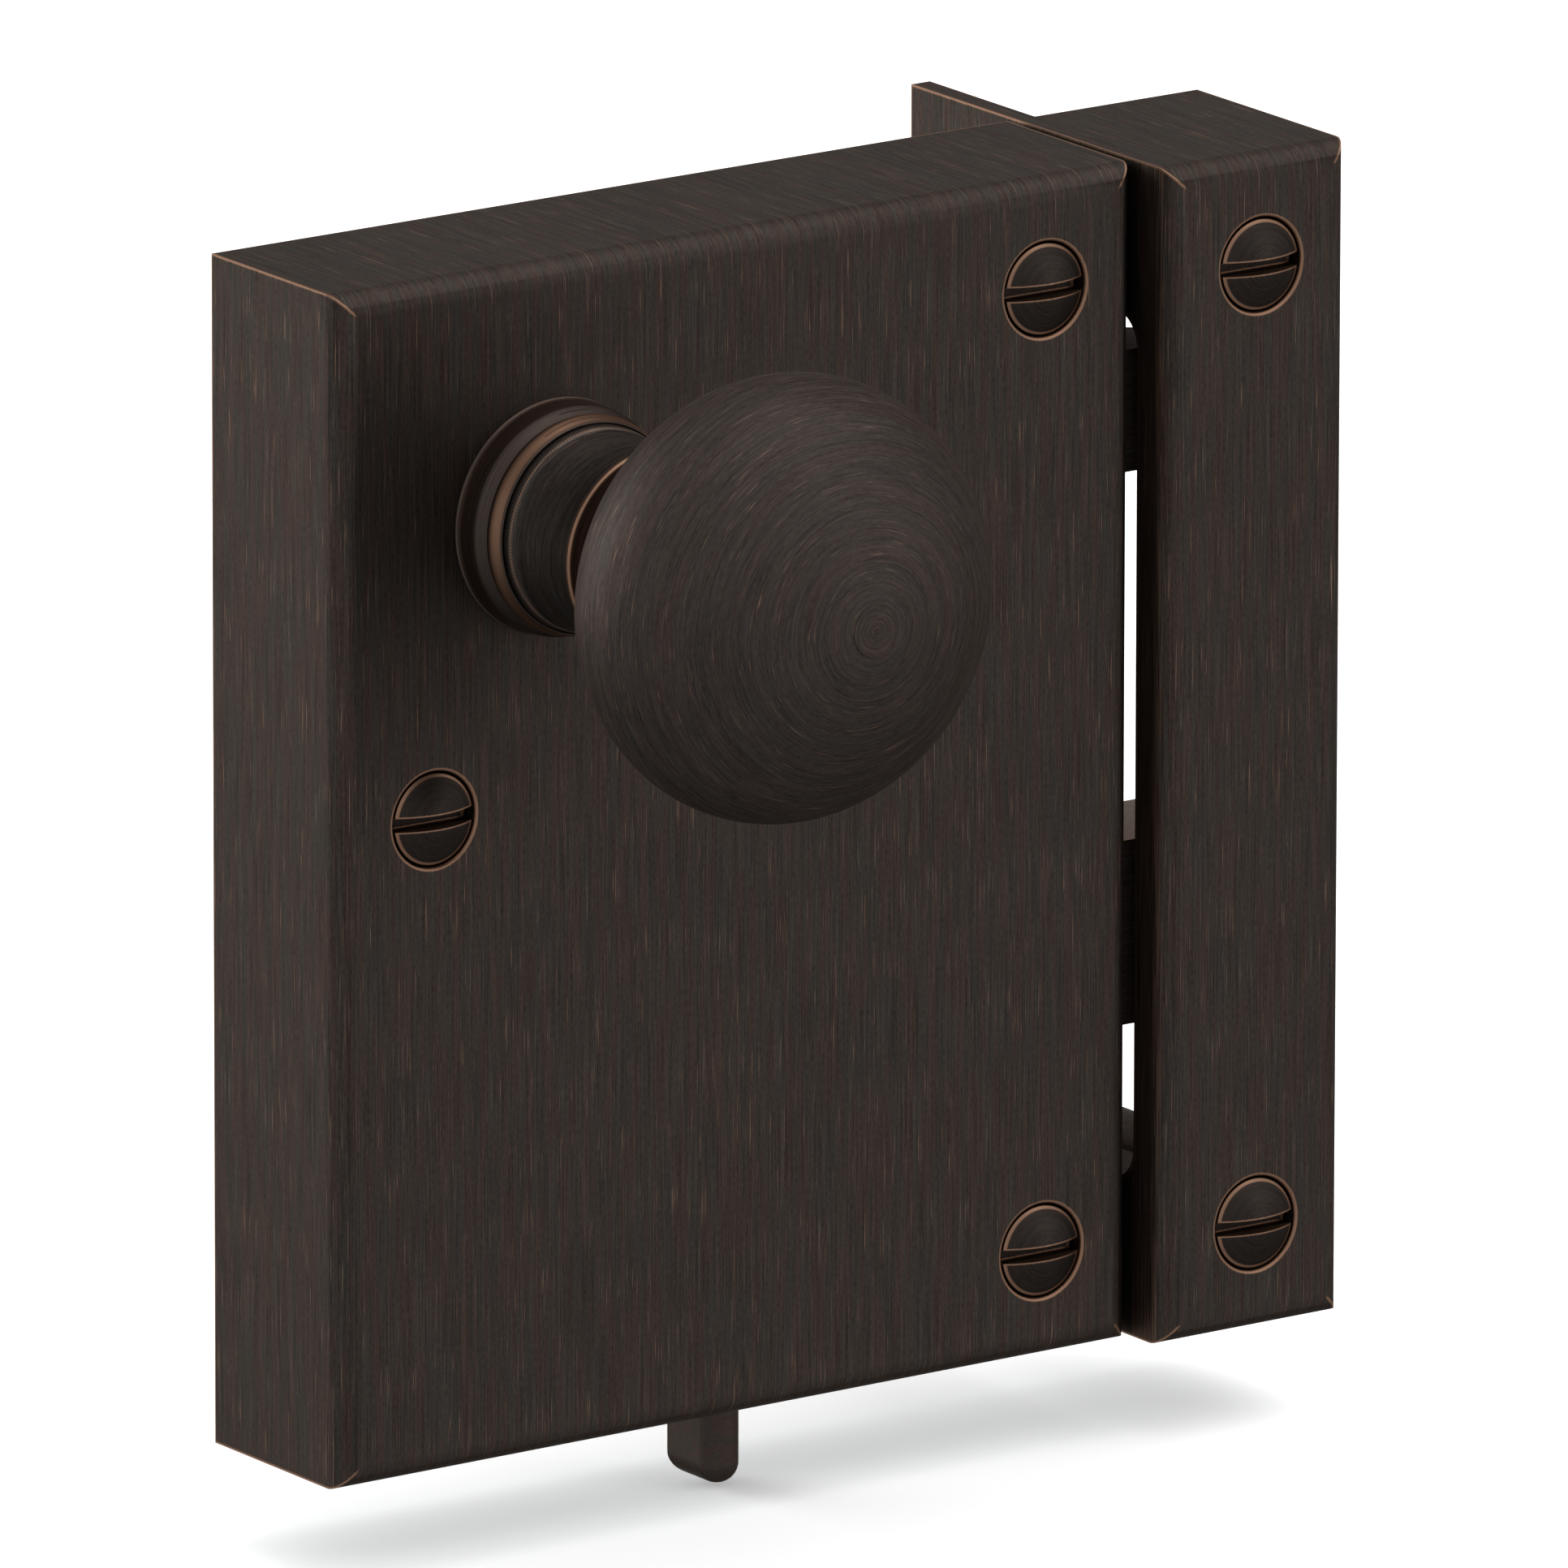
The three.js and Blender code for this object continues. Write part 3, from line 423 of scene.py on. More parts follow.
def settle(piece: bpy.types.Object) -> None:
    """Applies the piece's modifiers to its mesh.

    Args:
        piece: The object whose modifiers are applied.
    """
    bpy.context.view_layer.update()
    shown = piece.evaluated_get(bpy.context.evaluated_depsgraph_get())
    old, made = piece.data, bpy.data.meshes.new_from_object(shown)
    piece.modifiers.clear()
    piece.data = made
    made.name = piece.name
    bpy.data.meshes.remove(old)


def shape(piece: bpy.types.Object, work: Work, tools: Iterable[bmesh.types.BMesh]) -> None:
    """Cuts or joins a piece with other solids given in the piece's own axes.

    Args:
        piece: The object to change.
        work: What the tools do to it.
        tools: The other solids, used one after another.
    """
    for tool in tools:
        other = to_object("tool", tool, piece.location.copy())
        step = piece.modifiers.new("shape", "BOOLEAN")
        step.operation = work.value
        step.solver = "EXACT"
        step.object = other
        settle(piece)
        bpy.data.objects.remove(other)


def soften_edges(piece: bpy.types.Object, width: float) -> None:
    """Rounds a piece's sharp edges a little.

    Args:
        piece: The object to change.
        width: Width of the rounding in millimetres.
    """
    step = piece.modifiers.new("soften", "BEVEL")
    step.width = width * MM
    step.segments = 2
    step.limit_method = "ANGLE"
    step.angle_limit = SOFTEN_ANGLE
    step.use_clamp_overlap = True
    settle(piece)


def shade(piece: bpy.types.Object) -> None:
    """Shades a piece smooth, with its sharp edges kept and its flat faces left flat.

    Args:
        piece: The object to change.
    """
    mesh = piece.data
    mesh.polygons.foreach_set("use_smooth", [True] * len(mesh.polygons))
    mesh.set_sharp_from_angle(angle=SHARP_ANGLE)
    step = piece.modifiers.new("flat_faces", "WEIGHTED_NORMAL")
    step.mode = "FACE_AREA"
    step.weight = LARGEST_FACE_WEIGHT
    step.keep_sharp = True


def clean_copy(node: str, name: str, soften: float) -> bpy.types.Object:
    """A finer copy of a flat-sided CAD node: whole faces and softened edges.

    Args:
        node: The CAD node.
        name: The new piece's name.
        soften: Width of its softened edges in millimetres.

    Returns:
        The new piece.
    """
    mesh = bmesh.new()
    mesh.from_mesh(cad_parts[node].data)
    bmesh.ops.remove_doubles(mesh, verts=mesh.verts, dist=WELD)
    bmesh.ops.dissolve_limit(mesh, angle_limit=FLAT_ANGLE, verts=mesh.verts, edges=mesh.edges)
    piece = to_object(name, mesh)
    soften_edges(piece, soften)
    return piece


# ---------------------------------------------------------------------------
# Finishes
# ---------------------------------------------------------------------------


class Graph:
    """A node tree with short ways to add what the finishes need."""

    def __init__(self, tree: bpy.types.NodeTree) -> None:
        """Starts on an empty tree."""
        self.tree = tree
        self.tree.nodes.clear()

    def node(self, kind: str, **settings: object) -> bpy.types.Node:
        """Adds a node.

        Args:
            kind: Blender's name for the node type.
            settings: Its properties.

        Returns:
            The new node.
        """
        made = self.tree.nodes.new(kind)
        for key, value in settings.items():
            setattr(made, key, value)
        return made

    def put(self, socket: Socket, value: object) -> None:
        """Links a socket to another, or sets its number or colour.

        Args:
            socket: The input to fill.
            value: A socket, a number or a tuple.
        """
        if isinstance(value, bpy.types.NodeSocket):
            self.tree.links.new(value, socket)
        elif isinstance(value, tuple) and len(socket.default_value) == 4 and len(value) == 3:
            socket.default_value = (*value, 1.0)
        else:
            socket.default_value = value

    def step(self, operation: str, *values: Value) -> Socket:
        """One arithmetic step.

        Args:
            operation: Blender's name for it, such as "ADD".
            values: One or two numbers or sockets.

        Returns:
            The result.
        """
        made = self.node("ShaderNodeMath", operation=operation)
        for socket, value in zip(made.inputs, values):
            self.put(socket, value)
        return made.outputs[0]

    def chain(self, operation: str, *values: Value) -> Value:
        """The same arithmetic step run through several values, from the first to the last."""
        result = values[0]
        for value in values[1:]:
            result = self.step(operation, result, value)
        return result

    def plus(self, *values: Value) -> Value:
        """The sum of several values."""
        return self.chain("ADD", *values)

    def times(self, *values: Value) -> Value:
        """The product of several values."""
        return self.chain("MULTIPLY", *values)

    def least(self, *values: Value) -> Value:
        """The smallest of several values."""
        return self.chain("MINIMUM", *values)

    def most(self, *values: Value) -> Value:
        """The largest of several values."""
        return self.chain("MAXIMUM", *values)

    def minus(self, first: Value, second: Value) -> Socket:
        """The first value less the second."""
        return self.step("SUBTRACT", first, second)

    def apart(self, first: Value, second: Value) -> Socket:
        """The distance between two values."""
        return self.step("ABSOLUTE", self.minus(first, second))

    def length(self, first: Value, second: Value) -> Socket:
        """The length of a line from how far it goes along two axes."""
        return self.step("SQRT", self.plus(self.times(first, first), self.times(second, second)))

    def fade(self, value: Value, start: float, end: float) -> Socket:
        """A smooth step.

        Args:
            value: The number that is looked at.
            start: Where the result is 0.
            end: Where the result is 1. It may be below start.

        Returns:
            A number from 0 to 1.
        """
        made = self.node("ShaderNodeMapRange", interpolation_type="SMOOTHSTEP")
        falling = float(start > end)
        settings = (value, min(start, end), max(start, end), falling, 1.0 - falling)
        for socket, number in zip(made.inputs, settings):
            self.put(socket, number)
        return made.outputs[0]

    def blend(self, share: Value, first: object, second: object) -> Socket:
        """Mixes two colours.

        Args:
            share: How much of the second there is.
            first: A colour or socket.
            second: A colour or socket.

        Returns:
            The mixed colour.
        """
        made = self.node("ShaderNodeMix", data_type="RGBA")
        self.put(made.inputs[0], share)
        self.put(made.inputs[6], first)
        self.put(made.inputs[7], second)
        return made.outputs[2]

    def scaled(self, vector: Socket, factor: Value) -> Socket:
        """A vector or colour times a number."""
        made = self.node("ShaderNodeVectorMath", operation="SCALE")
        self.put(made.inputs[0], vector)
        self.put(made.inputs["Scale"], factor)
        return made.outputs[0]

    def place(self) -> "Place":
        """Where the point is in the object's own millimetres."""
        parts = self.node("ShaderNodeSeparateXYZ")
        point = self.node("ShaderNodeTexCoord").outputs["Object"]
        self.put(parts.inputs[0], self.scaled(point, PER_MM))
        return Place(*parts.outputs)

    def noise(self, strokes: "Strokes", grain: "Grain", run: float = 1.0) -> Socket:
        """Noise that is drawn out along the brushing.

        Args:
            strokes: The brushing's own coordinates.
            grain: How fine and how long the noise is.
            run: Makes it this many times longer.

        Returns:
            A number from 0 to 1.
        """
        joined = self.node("ShaderNodeCombineXYZ")
        slow = grain.scale / (grain.stretch * run)
        self.put(joined.inputs[0], self.times(strokes.across, grain.scale))
        self.put(joined.inputs[1], self.times(strokes.along, slow))
        self.put(joined.inputs[2], self.times(strokes.beside, slow))
        made = self.node("ShaderNodeTexNoise", noise_dimensions="4D")
        self.put(made.inputs["Vector"], joined.outputs[0])
        self.put(made.inputs["W"], self.times(strokes.level, grain.scale))
        self.put(made.inputs["Scale"], 1.0)
        self.put(made.inputs["Detail"], grain.detail)
        return made.outputs["Fac"]

    def metal(
        self, colour: Socket, roughness: Socket, height: Socket, relief: float, depth: float
    ) -> bpy.types.Node:
        """Ends the tree with a bumped metal surface.

        Args:
            colour: Its colour.
            roughness: Its roughness.
            height: The noise that stands out of it.
            relief: How strongly that noise shows.
            depth: How far it stands out, in metres.

        Returns:
            The surface's shader node.
        """
        bump = self.node("ShaderNodeBump")
        self.put(bump.inputs["Strength"], relief)
        self.put(bump.inputs["Distance"], depth)
        self.put(bump.inputs["Height"], height)
        shader = self.node("ShaderNodeBsdfPrincipled")
        self.put(shader.inputs["Base Color"], colour)
        self.put(shader.inputs["Metallic"], 1.0)
        self.put(shader.inputs["Roughness"], roughness)
        self.put(shader.inputs["Normal"], bump.outputs[0])
        output = self.node("ShaderNodeOutputMaterial")
        self.put(output.inputs["Surface"], shader.outputs[0])
        return shader


def new_material(name: str) -> tuple[bpy.types.Material, Graph]:
    """A new material with an empty node tree to fill."""
    material = bpy.data.materials.new(name)
    material.use_nodes = True
    return material, Graph(material.node_tree)


@dataclass
class Place:
    """Where a point of the surface is, in the object's own millimetres."""

    x: Socket
    y: Socket
    z: Socket


@dataclass
class Strokes:
    """Where a point is in the brushing: quick to change across and level, slow along and beside."""

    across: Value
    along: Value
    beside: Value = 0.0
    level: Value = 0.0


@dataclass(frozen=True)
class Grain:
    """One layer of noise in a finish.

    Args:
        scale: Noise cells in a millimetre across the strokes.
        stretch: How many times longer than wide a cell is.
        detail: Extra layers of finer noise.
        contrast: How far it lightens and darkens the ground.
    """

    scale: float
    stretch: float
    detail: float
    contrast: float = 0.0


class Lay(Enum):
    """Which way a piece was brushed."""

    UPRIGHT = "upright on the front and sides, front to back on the top and bottom"
    ROUND = "round the piece's own axis"
    ALONG_X = "along X"
    ALONG_Z = "up and down"

    def strokes(self, graph: Graph, place: Place, size: tuple[float, float, float]) -> Strokes:
        """The brushing's coordinates at a point.

        Args:
            graph: The finish's nodes.
            place: The point.
            size: Width, depth and height of the piece for UPRIGHT.

        Returns:
            The coordinates in millimetres.
        """
        if self is Lay.ROUND:
            return Strokes(graph.length(place.x, place.z), place.x, place.z, place.y)
        if self is Lay.ALONG_X:
            return Strokes(place.z, place.x, 0.0, place.y)
        if self is Lay.ALONG_Z:
            return Strokes(place.x, place.z, 0.0, place.y)
        width, depth, height = size
        side = graph.least(place.x, graph.minus(width, place.x))
        end = graph.least(place.z, graph.minus(height, place.z))
        from_front = graph.plus(place.y, depth)
        level = graph.times(from_front, graph.step("LESS_THAN", side, end))
        return Strokes(place.x, place.z, graph.minus(from_front, level), level)


@dataclass(frozen=True)
class Bronze:
    """Dark oil-rubbed bronze, brushed, and worn to copper on its edges.

    Args:
        warm: Colour of its redder streaks.
        cool: Colour of its greyer streaks.
        copper: Colour where the dark finish has gone.
        pale: Colour of its light scratches.
        roughness: Its mean roughness.
        line_strength: How plainly the brushed lines show.
        scratch_strength: How plainly the light scratches show.
        run: Makes the lines this many times longer.
        relief: How strongly the lines stand out.
        edge_tint: How bright it is where it is seen almost edge on.
        fine: The brushed lines.
        speck: The short specks between them.
        broad: The slower change from line to line.
        streak: Where warm turns to cool.
        dash: The light scratches.
        sparse: Where the scratches lie.
        streak_edge: Noise levels between which cool turns to warm.
        dash_edge: Noise levels between which a scratch starts and is full.
        sparse_edge: Noise levels between which scratches are let through.
        darkest: The least share of its colour that a dark line keeps.
        ragged: How far the lines shift the edge of the worn parts.
        bare_edge: Wear between which copper starts to show and is bare.
        least_wear: Wear below which the lines alone bare no copper.
        rough_spread: How much rougher a raised line is than a sunk one.
        polish: How much smoother bare copper is.
        relief_depth: How far the lines stand out, in millimetres.
    """

    warm: Colour = (0.0440, 0.0312, 0.0268)
    cool: Colour = (0.0372, 0.0324, 0.0282)
    copper: Colour = (0.205, 0.118, 0.078)
    pale: Colour = (0.185, 0.118, 0.084)
    roughness: float = 0.53
    line_strength: float = 1.0
    scratch_strength: float = 1.0
    run: float = 1.0
    relief: float = 0.12
    edge_tint: Colour = (0.50, 0.492, 0.484)
    fine: Grain = Grain(7.5, 80.0, 2.0, 1.75)
    speck: Grain = Grain(6.5, 4.0, 1.0, 0.9)
    broad: Grain = Grain(1.7, 40.0, 2.0, 0.5)
    streak: Grain = Grain(1.05, 16.0, 2.0)
    dash: Grain = Grain(9.0, 60.0, 1.0, 0.95)
    sparse: Grain = Grain(1.1, 5.0, 1.0)
    streak_edge: Point2 = (0.36, 0.64)
    dash_edge: Point2 = (0.62, 0.74)
    sparse_edge: Point2 = (0.32, 0.6)
    darkest: float = 0.4
    ragged: float = 0.9
    bare_edge: Point2 = (0.25, 0.95)
    least_wear: float = 0.2
    rough_spread: float = 0.14
    polish: float = 0.08
    relief_depth: float = 0.04

    def material(
        self,
        name: str,
        lay: Lay,
        wear: WearRule,
        size: tuple[float, float, float] = (0.0, 0.0, 0.0),
    ) -> bpy.types.Material:
        """Makes the finish for one piece.

        Args:
            name: The material's name.
            lay: Which way the piece was brushed.
            wear: Gives how worn each point is; on some pieces it also paints in light as copper.
            size: Width, depth and height of the piece for an upright lay.

        Returns:
            The material.
        """
        material, graph = new_material(name)
        place = graph.place()
        strokes = lay.strokes(graph, place, size)
        fine = graph.noise(strokes, self.fine, self.run)
        brushed = self.brushed(graph, strokes, fine)
        bare = self.bare(graph, wear(graph, place), fine)
        colour = graph.blend(bare, brushed, self.copper)
        rough = graph.plus(
            graph.times(fine, self.rough_spread), self.roughness - self.rough_spread / 2
        )
        rough = graph.minus(rough, graph.times(bare, self.polish))
        relief = self.relief * self.line_strength
        shader = graph.metal(colour, rough, fine, relief, self.relief_depth * MM)
        graph.put(shader.inputs["Specular Tint"], self.edge_tint)
        return material

    def brushed(self, graph: Graph, strokes: Strokes, fine: Socket) -> Socket:
        """The colour of the dark finish with its lines and scratches.

        Args:
            graph: The finish's nodes.
            strokes: The brushing's coordinates.
            fine: The noise of its lines.

        Returns:
            The colour.
        """
        tone = graph.fade(graph.noise(strokes, self.streak), *self.streak_edge)
        ground = graph.blend(tone, self.cool, self.warm)
        speck = graph.noise(strokes, self.speck)
        broad = graph.noise(strokes, self.broad, self.run)
        level: Value = 1.0
        for layer, grain in ((fine, self.fine), (speck, self.speck), (broad, self.broad)):
            change = graph.times(graph.minus(layer, 0.5), grain.contrast * self.line_strength)
            level = graph.plus(level, change)
        ground = graph.scaled(ground, graph.most(level, self.darkest))
        dash = graph.fade(graph.noise(strokes, self.dash, self.run), *self.dash_edge)
        sparse = graph.fade(graph.noise(strokes, self.sparse), *self.sparse_edge)
        scratch = graph.times(dash, sparse, self.dash.contrast * self.scratch_strength)
        return graph.blend(scratch, ground, self.pale)

    def bare(self, graph: Graph, worn: Value, fine: Socket) -> Value:
        """How much copper shows, with a ragged edge that follows the lines.

        Args:
            graph: The finish's nodes.
            worn: How worn the point is.
            fine: The noise of its lines.

        Returns:
            A number from 0 to 1.
        """
        shifted = graph.plus(worn, graph.times(graph.minus(fine, 0.5), self.ragged))
        allowed = graph.fade(worn, 0.0, self.least_wear)
        return graph.times(graph.fade(shifted, *self.bare_edge), allowed)


@dataclass(frozen=True)
class Steel:
    """Plain plate or spring steel with a grained surface and slight tarnish.

    Args:
        bright: Its lighter colour.
        dull: Its darker colour.
        roughness: Its mean roughness.
        stain: Colour of its tarnish.
        fine: The grain of the rolled sheet.
        cloud: The slow change from dull to bright.
        spots: Where it has tarnished.
        tone_edge: Noise levels between which dull turns to bright.
        spot_edge: Noise levels between which a stain starts and is full.
        rough_spread: How much rougher its bright parts are than its dull ones.
        relief: How strongly its grain stands out.
        relief_depth: How far it stands out, in millimetres.
    """

    bright: Colour = (0.27, 0.262, 0.25)
    dull: Colour = (0.15, 0.142, 0.132)
    roughness: float = 0.42
    stain: Colour = (0.085, 0.068, 0.052)
    fine: Grain = Grain(3.5, 30.0, 3.0, 0.55)
    cloud: Grain = Grain(0.12, 1.6, 4.0, 0.6)
    spots: Grain = Grain(1.3, 1.0, 2.0, 0.45)
    tone_edge: Point2 = (0.38, 0.75)
    spot_edge: Point2 = (0.6, 0.78)
    rough_spread: float = 0.25
    relief: float = 0.2
    relief_depth: float = 0.05

    def material(self, name: str, lay: Lay) -> bpy.types.Material:
        """Makes the finish.

        Args:
            name: The material's name.
            lay: Which way the grain runs.

        Returns:
            The material.
        """
        material, graph = new_material(name)
        strokes = lay.strokes(graph, graph.place(), (0.0, 0.0, 0.0))
        fine, cloud, spots = (
            graph.noise(strokes, grain) for grain in (self.fine, self.cloud, self.spots)
        )
        share = graph.plus(
            graph.times(fine, self.fine.contrast), graph.times(cloud, self.cloud.contrast)
        )
        ground = graph.blend(graph.fade(share, *self.tone_edge), self.dull, self.bright)
        stained = graph.times(graph.fade(spots, *self.spot_edge), self.spots.contrast)
        colour = graph.blend(stained, ground, self.stain)
        rough = graph.plus(graph.times(cloud, self.rough_spread), self.roughness - 0.1)
        graph.metal(colour, rough, fine, self.relief, self.relief_depth * MM)
        return material


@dataclass(frozen=True)
class SetWearAndPaintedLight:
    """Wear that was set at the mesh's corners, with slanted nicks on one ring; on the rosette's side
    and the neck's end face those values are also painted light.

    Args:
        nicked: Low and high Y of the nicked ring, if there is one.
        count: How many nicks go round it.
        slant: How far a nick leans, in radians of its own round to a millimetre.
        depth: How much wear a nick takes away.
        border: How softly the nicked ring ends.
        nick_edge: Levels of the wave between which a nick starts and is full.
    """

    nicked: Point2 | None = None
    count: float = 190.0
    slant: float = 7.0
    depth: float = 0.5
    border: float = 0.1
    nick_edge: Point2 = (0.1, 0.8)

    def __call__(self, graph: Graph, place: Place) -> Value:
        """The wear at a point.

        Args:
            graph: The finish's nodes.
            place: The point.

        Returns:
            The wear from 0 to 1.
        """
        worn = graph.node("ShaderNodeAttribute", attribute_name="wear").outputs["Fac"]
        if self.nicked is None:
            return worn
        low, high = self.nicked
        turn = graph.times(graph.step("ARCTAN2", place.z, place.x), self.count)
        phase = graph.plus(turn, graph.times(place.y, self.slant))
        nick = graph.fade(graph.step("SINE", phase), *self.nick_edge)
        above = graph.fade(place.y, low - self.border, low)
        below = graph.fade(place.y, high + self.border, high)
        return graph.times(worn, graph.minus(1.0, graph.times(nick, above, below, self.depth)))


@dataclass(frozen=True)
class BoxWear:
    """Wear along the edges of a box.

    Args:
        low: The box's lowest corner in the object's millimetres.
        high: Its highest corner.
        width: How far from the edge the wear reaches.
    """

    low: Sequence[float]
    high: Sequence[float]
    width: float = 0.5

    def __call__(self, graph: Graph, place: Place) -> Value:
        """The wear at a point.

        Args:
            graph: The finish's nodes.
            place: The point.

        Returns:
            The wear from 0 to 1.
        """
        first, second, third = (
            graph.least(graph.apart(value, low), graph.apart(value, high))
            for value, low, high in zip((place.x, place.y, place.z), self.low, self.high)
        )
        edge = graph.most(graph.least(first, second), graph.least(graph.most(first, second), third))
        return graph.fade(edge, self.width, 0.0)


@dataclass(frozen=True)
class Slot:
    """A slot with round corners in the left side of a pan, in millimetres.

    Args:
        front: Y of its front end.
        back: Y of its back end.
        bottom: Z of its lower end.
        top: Z of its upper end.
        corner: Radius of its corners.
    """

    front: float
    back: float
    bottom: float
    top: float
    corner: float


@dataclass(frozen=True)
class PanWearAndPaintedLight:
    """Wear on a pan: its folds, its back rim, its screw holes and any slot in its left side, with
    painted light on the strip in front of the slot.

    Args:
        width: The pan's width.
        height: Its height.
        depth: Its depth.
        radius: Radius of its front edges.
        holes: Centre of each screw hole as (x, z).
        hole_radius: Radius of the holes at the face.
        slot: The slot, if there is one.
        flange: Thickness and reach of the flange, if there is one.
        fold_width: How far from a mitre the wear reaches.
        fold_reach: How far past the round edge it runs.
        rim_width: How far from the back plane the rim's wear reaches.
        tip_width: How far from the flange's tip the wear reaches.
        inner_width: How far it reaches from the flange's inner corners.
        ring_offset: How far outside a screw hole's edge its worn ring lies.
        ring_fade: How far from the ring's middle its wear ends and is full.
        face_fade: How far behind the front face a ring's wear ends and is full.
        slot_fade: How far from the slot's edge the wear ends and is full.
        slot_depth: How far in from the side the slot's wear ends and is full.
        facing_painted_light: Copper painted as light on the strip that faces the case, in front of
            the slot, where the case's side shades it.
        facing_start: How far behind the slot's front end that strip starts.
        facing_fade: How far round the front edge its wear ends and is full.
    """

    width: float
    height: float
    depth: float
    radius: float
    holes: tuple[Point2, ...]
    hole_radius: float
    slot: Slot | None = None
    flange: tuple[float, float] | None = None
    fold_width: float = 0.42
    fold_reach: float = 0.7
    rim_width: float = 0.28
    tip_width: float = 0.35
    inner_width: float = 0.3
    ring_offset: float = 0.14
    ring_fade: Point2 = (0.34, 0.08)
    face_fade: Point2 = (0.6, 0.2)
    slot_fade: Point2 = (0.75, 0.25)
    slot_depth: Point2 = (0.45, 0.2)
    facing_painted_light: float = 0.42
    facing_start: float = 0.5
    facing_fade: Point2 = (0.9, 0.1)

    def __call__(self, graph: Graph, place: Place) -> Value:
        """The wear at a point, with the painted light on the strip in front of any slot.

        Args:
            graph: The finish's nodes.
            place: The point.

        Returns:
            The wear from 0 to 1.
        """
        side = graph.least(place.x, graph.minus(self.width, place.x))
        end = graph.least(place.z, graph.minus(self.height, place.z))
        off_fold = graph.fade(graph.apart(side, end), self.fold_width, 0.0)
        near_fold = graph.fade(graph.most(side, end), self.radius, self.radius - self.fold_reach)
        worn = graph.most(graph.times(off_fold, near_fold), self.back_edges(graph, place, end))
        for hole in self.holes:
            worn = graph.most(worn, self.hole_ring(graph, place, hole))
        if self.slot:
            worn = graph.most(worn, self.slot_edge(graph, place, self.slot))
        return worn

    def back_edges(self, graph: Graph, place: Place, end: Value) -> Value:
        """Wear on the rim in the back plane, and on the flange's tip and inner corners.

        Args:
            graph: The finish's nodes.
            place: The point.
            end: How far the point is from the nearer of the top and the bottom.

        Returns:
            The wear from 0 to 1.
        """
        rim = graph.fade(graph.step("ABSOLUTE", place.y), self.rim_width, 0.0)
        if not self.flange:
            return rim
        thickness, reach = self.flange
        rim = graph.times(rim, graph.fade(place.x, thickness - 0.1, thickness + 0.1))
        tip = graph.fade(graph.minus(reach, place.y), self.tip_width, 0.0)
        inner = graph.fade(graph.apart(place.x, thickness), self.inner_width, 0.0)
        at_end = graph.fade(end, self.inner_width, 0.0)
        behind = graph.fade(place.y, 0.1, 0.5)
        return graph.most(rim, tip, graph.times(inner, behind, at_end))

    def hole_ring(self, graph: Graph, place: Place, hole: Point2) -> Value:
        """Wear round one screw hole.

        Args:
            graph: The finish's nodes.
            place: The point.
            hole: The hole's centre as (x, z).

        Returns:
            The wear from 0 to 1.
        """
        from_centre = graph.length(graph.minus(place.x, hole[0]), graph.minus(place.z, hole[1]))
        off_ring = graph.apart(from_centre, self.hole_radius + self.ring_offset)
        behind = graph.fade(graph.plus(place.y, self.depth), *self.face_fade)
        return graph.times(graph.fade(off_ring, *self.ring_fade), behind)

    def slot_edge(self, graph: Graph, place: Place, slot: Slot) -> Value:
        """Wear along the slot's edge, and painted light on the strip in front of it.

        Args:
            graph: The finish's nodes.
            place: The point.
            slot: The slot.

        Returns:
            The wear from 0 to 1.
        """
        off_y = graph.apart(place.y, (slot.front + slot.back) / 2)
        off_z = graph.apart(place.z, (slot.top + slot.bottom) / 2)
        past_y = graph.minus(off_y, (slot.back - slot.front) / 2 - slot.corner)
        past_z = graph.minus(off_z, (slot.top - slot.bottom) / 2 - slot.corner)
        outside = graph.length(graph.most(past_y, 0.0), graph.most(past_z, 0.0))
        inside = graph.least(graph.most(past_y, past_z), 0.0)
        off_edge = graph.apart(graph.plus(outside, inside), slot.corner)
        line = graph.fade(off_edge, *self.slot_fade)
        line = graph.times(line, graph.fade(place.x, *self.slot_depth))
        before = graph.fade(place.y, slot.front + self.facing_start, slot.front)
        facing = graph.fade(place.x, *self.facing_fade)
        # The strip that faces the case gets copper as painted light, lightening the edge that the
        # case's side shades.
        return graph.most(line, graph.times(facing, before, self.facing_painted_light))


@dataclass(frozen=True)
class ScrewWearAndPaintedLight:
    """Wear on a slotted head: its rim, both lips of its slot and the edges of the slot's floor,
    whose ends are partly painted light.

    Args:
        radius: Radius of the head.
        slot: Width of the slot.
        floor: Y of the slot's floor.
        rim_fade: How far inside the rim the wear ends and is full.
        lip_fade: How far from a lip of the slot it ends and is full.
        head_fade: Y where the head's own wear ends and is full.
        end_wear_and_light_fade: How far inside the rim the copper on the floor ends and is full;
            partly a worn edge, partly painted light in the floor's shade.
        foot_fade: How far from the slot's walls it ends and is full.
        floor_fade: How far above the floor it ends and is full.
    """

    radius: float
    slot: float
    floor: float
    rim_fade: Point2 = (0.48, 0.2)
    lip_fade: Point2 = (0.27, 0.05)
    head_fade: Point2 = (0.6, 0.3)
    end_wear_and_light_fade: Point2 = (0.6, 0.3)
    foot_fade: Point2 = (0.24, 0.04)
    floor_fade: Point2 = (0.24, 0.08)

    def __call__(self, graph: Graph, place: Place) -> Value:
        """The wear at a point.

        Args:
            graph: The finish's nodes.
            place: The point.

        Returns:
            The wear from 0 to 1.
        """
        from_rim = graph.minus(self.radius, graph.length(place.x, place.z))
        off_lip = graph.apart(graph.step("ABSOLUTE", place.z), self.slot / 2)
        rim = graph.fade(from_rim, *self.rim_fade)
        head = graph.most(rim, graph.fade(off_lip, *self.lip_fade))
        head = graph.times(head, graph.fade(place.y, *self.head_fade))
        # Copper at the floor's ends: partly a worn edge, partly painted light where the deep floor
        # lies in shade.
        end = graph.fade(from_rim, *self.end_wear_and_light_fade)
        floor = graph.most(end, graph.fade(off_lip, *self.foot_fade))
        on_floor = graph.fade(graph.apart(place.y, self.floor), *self.floor_fade)
        return graph.most(head, graph.times(floor, on_floor))
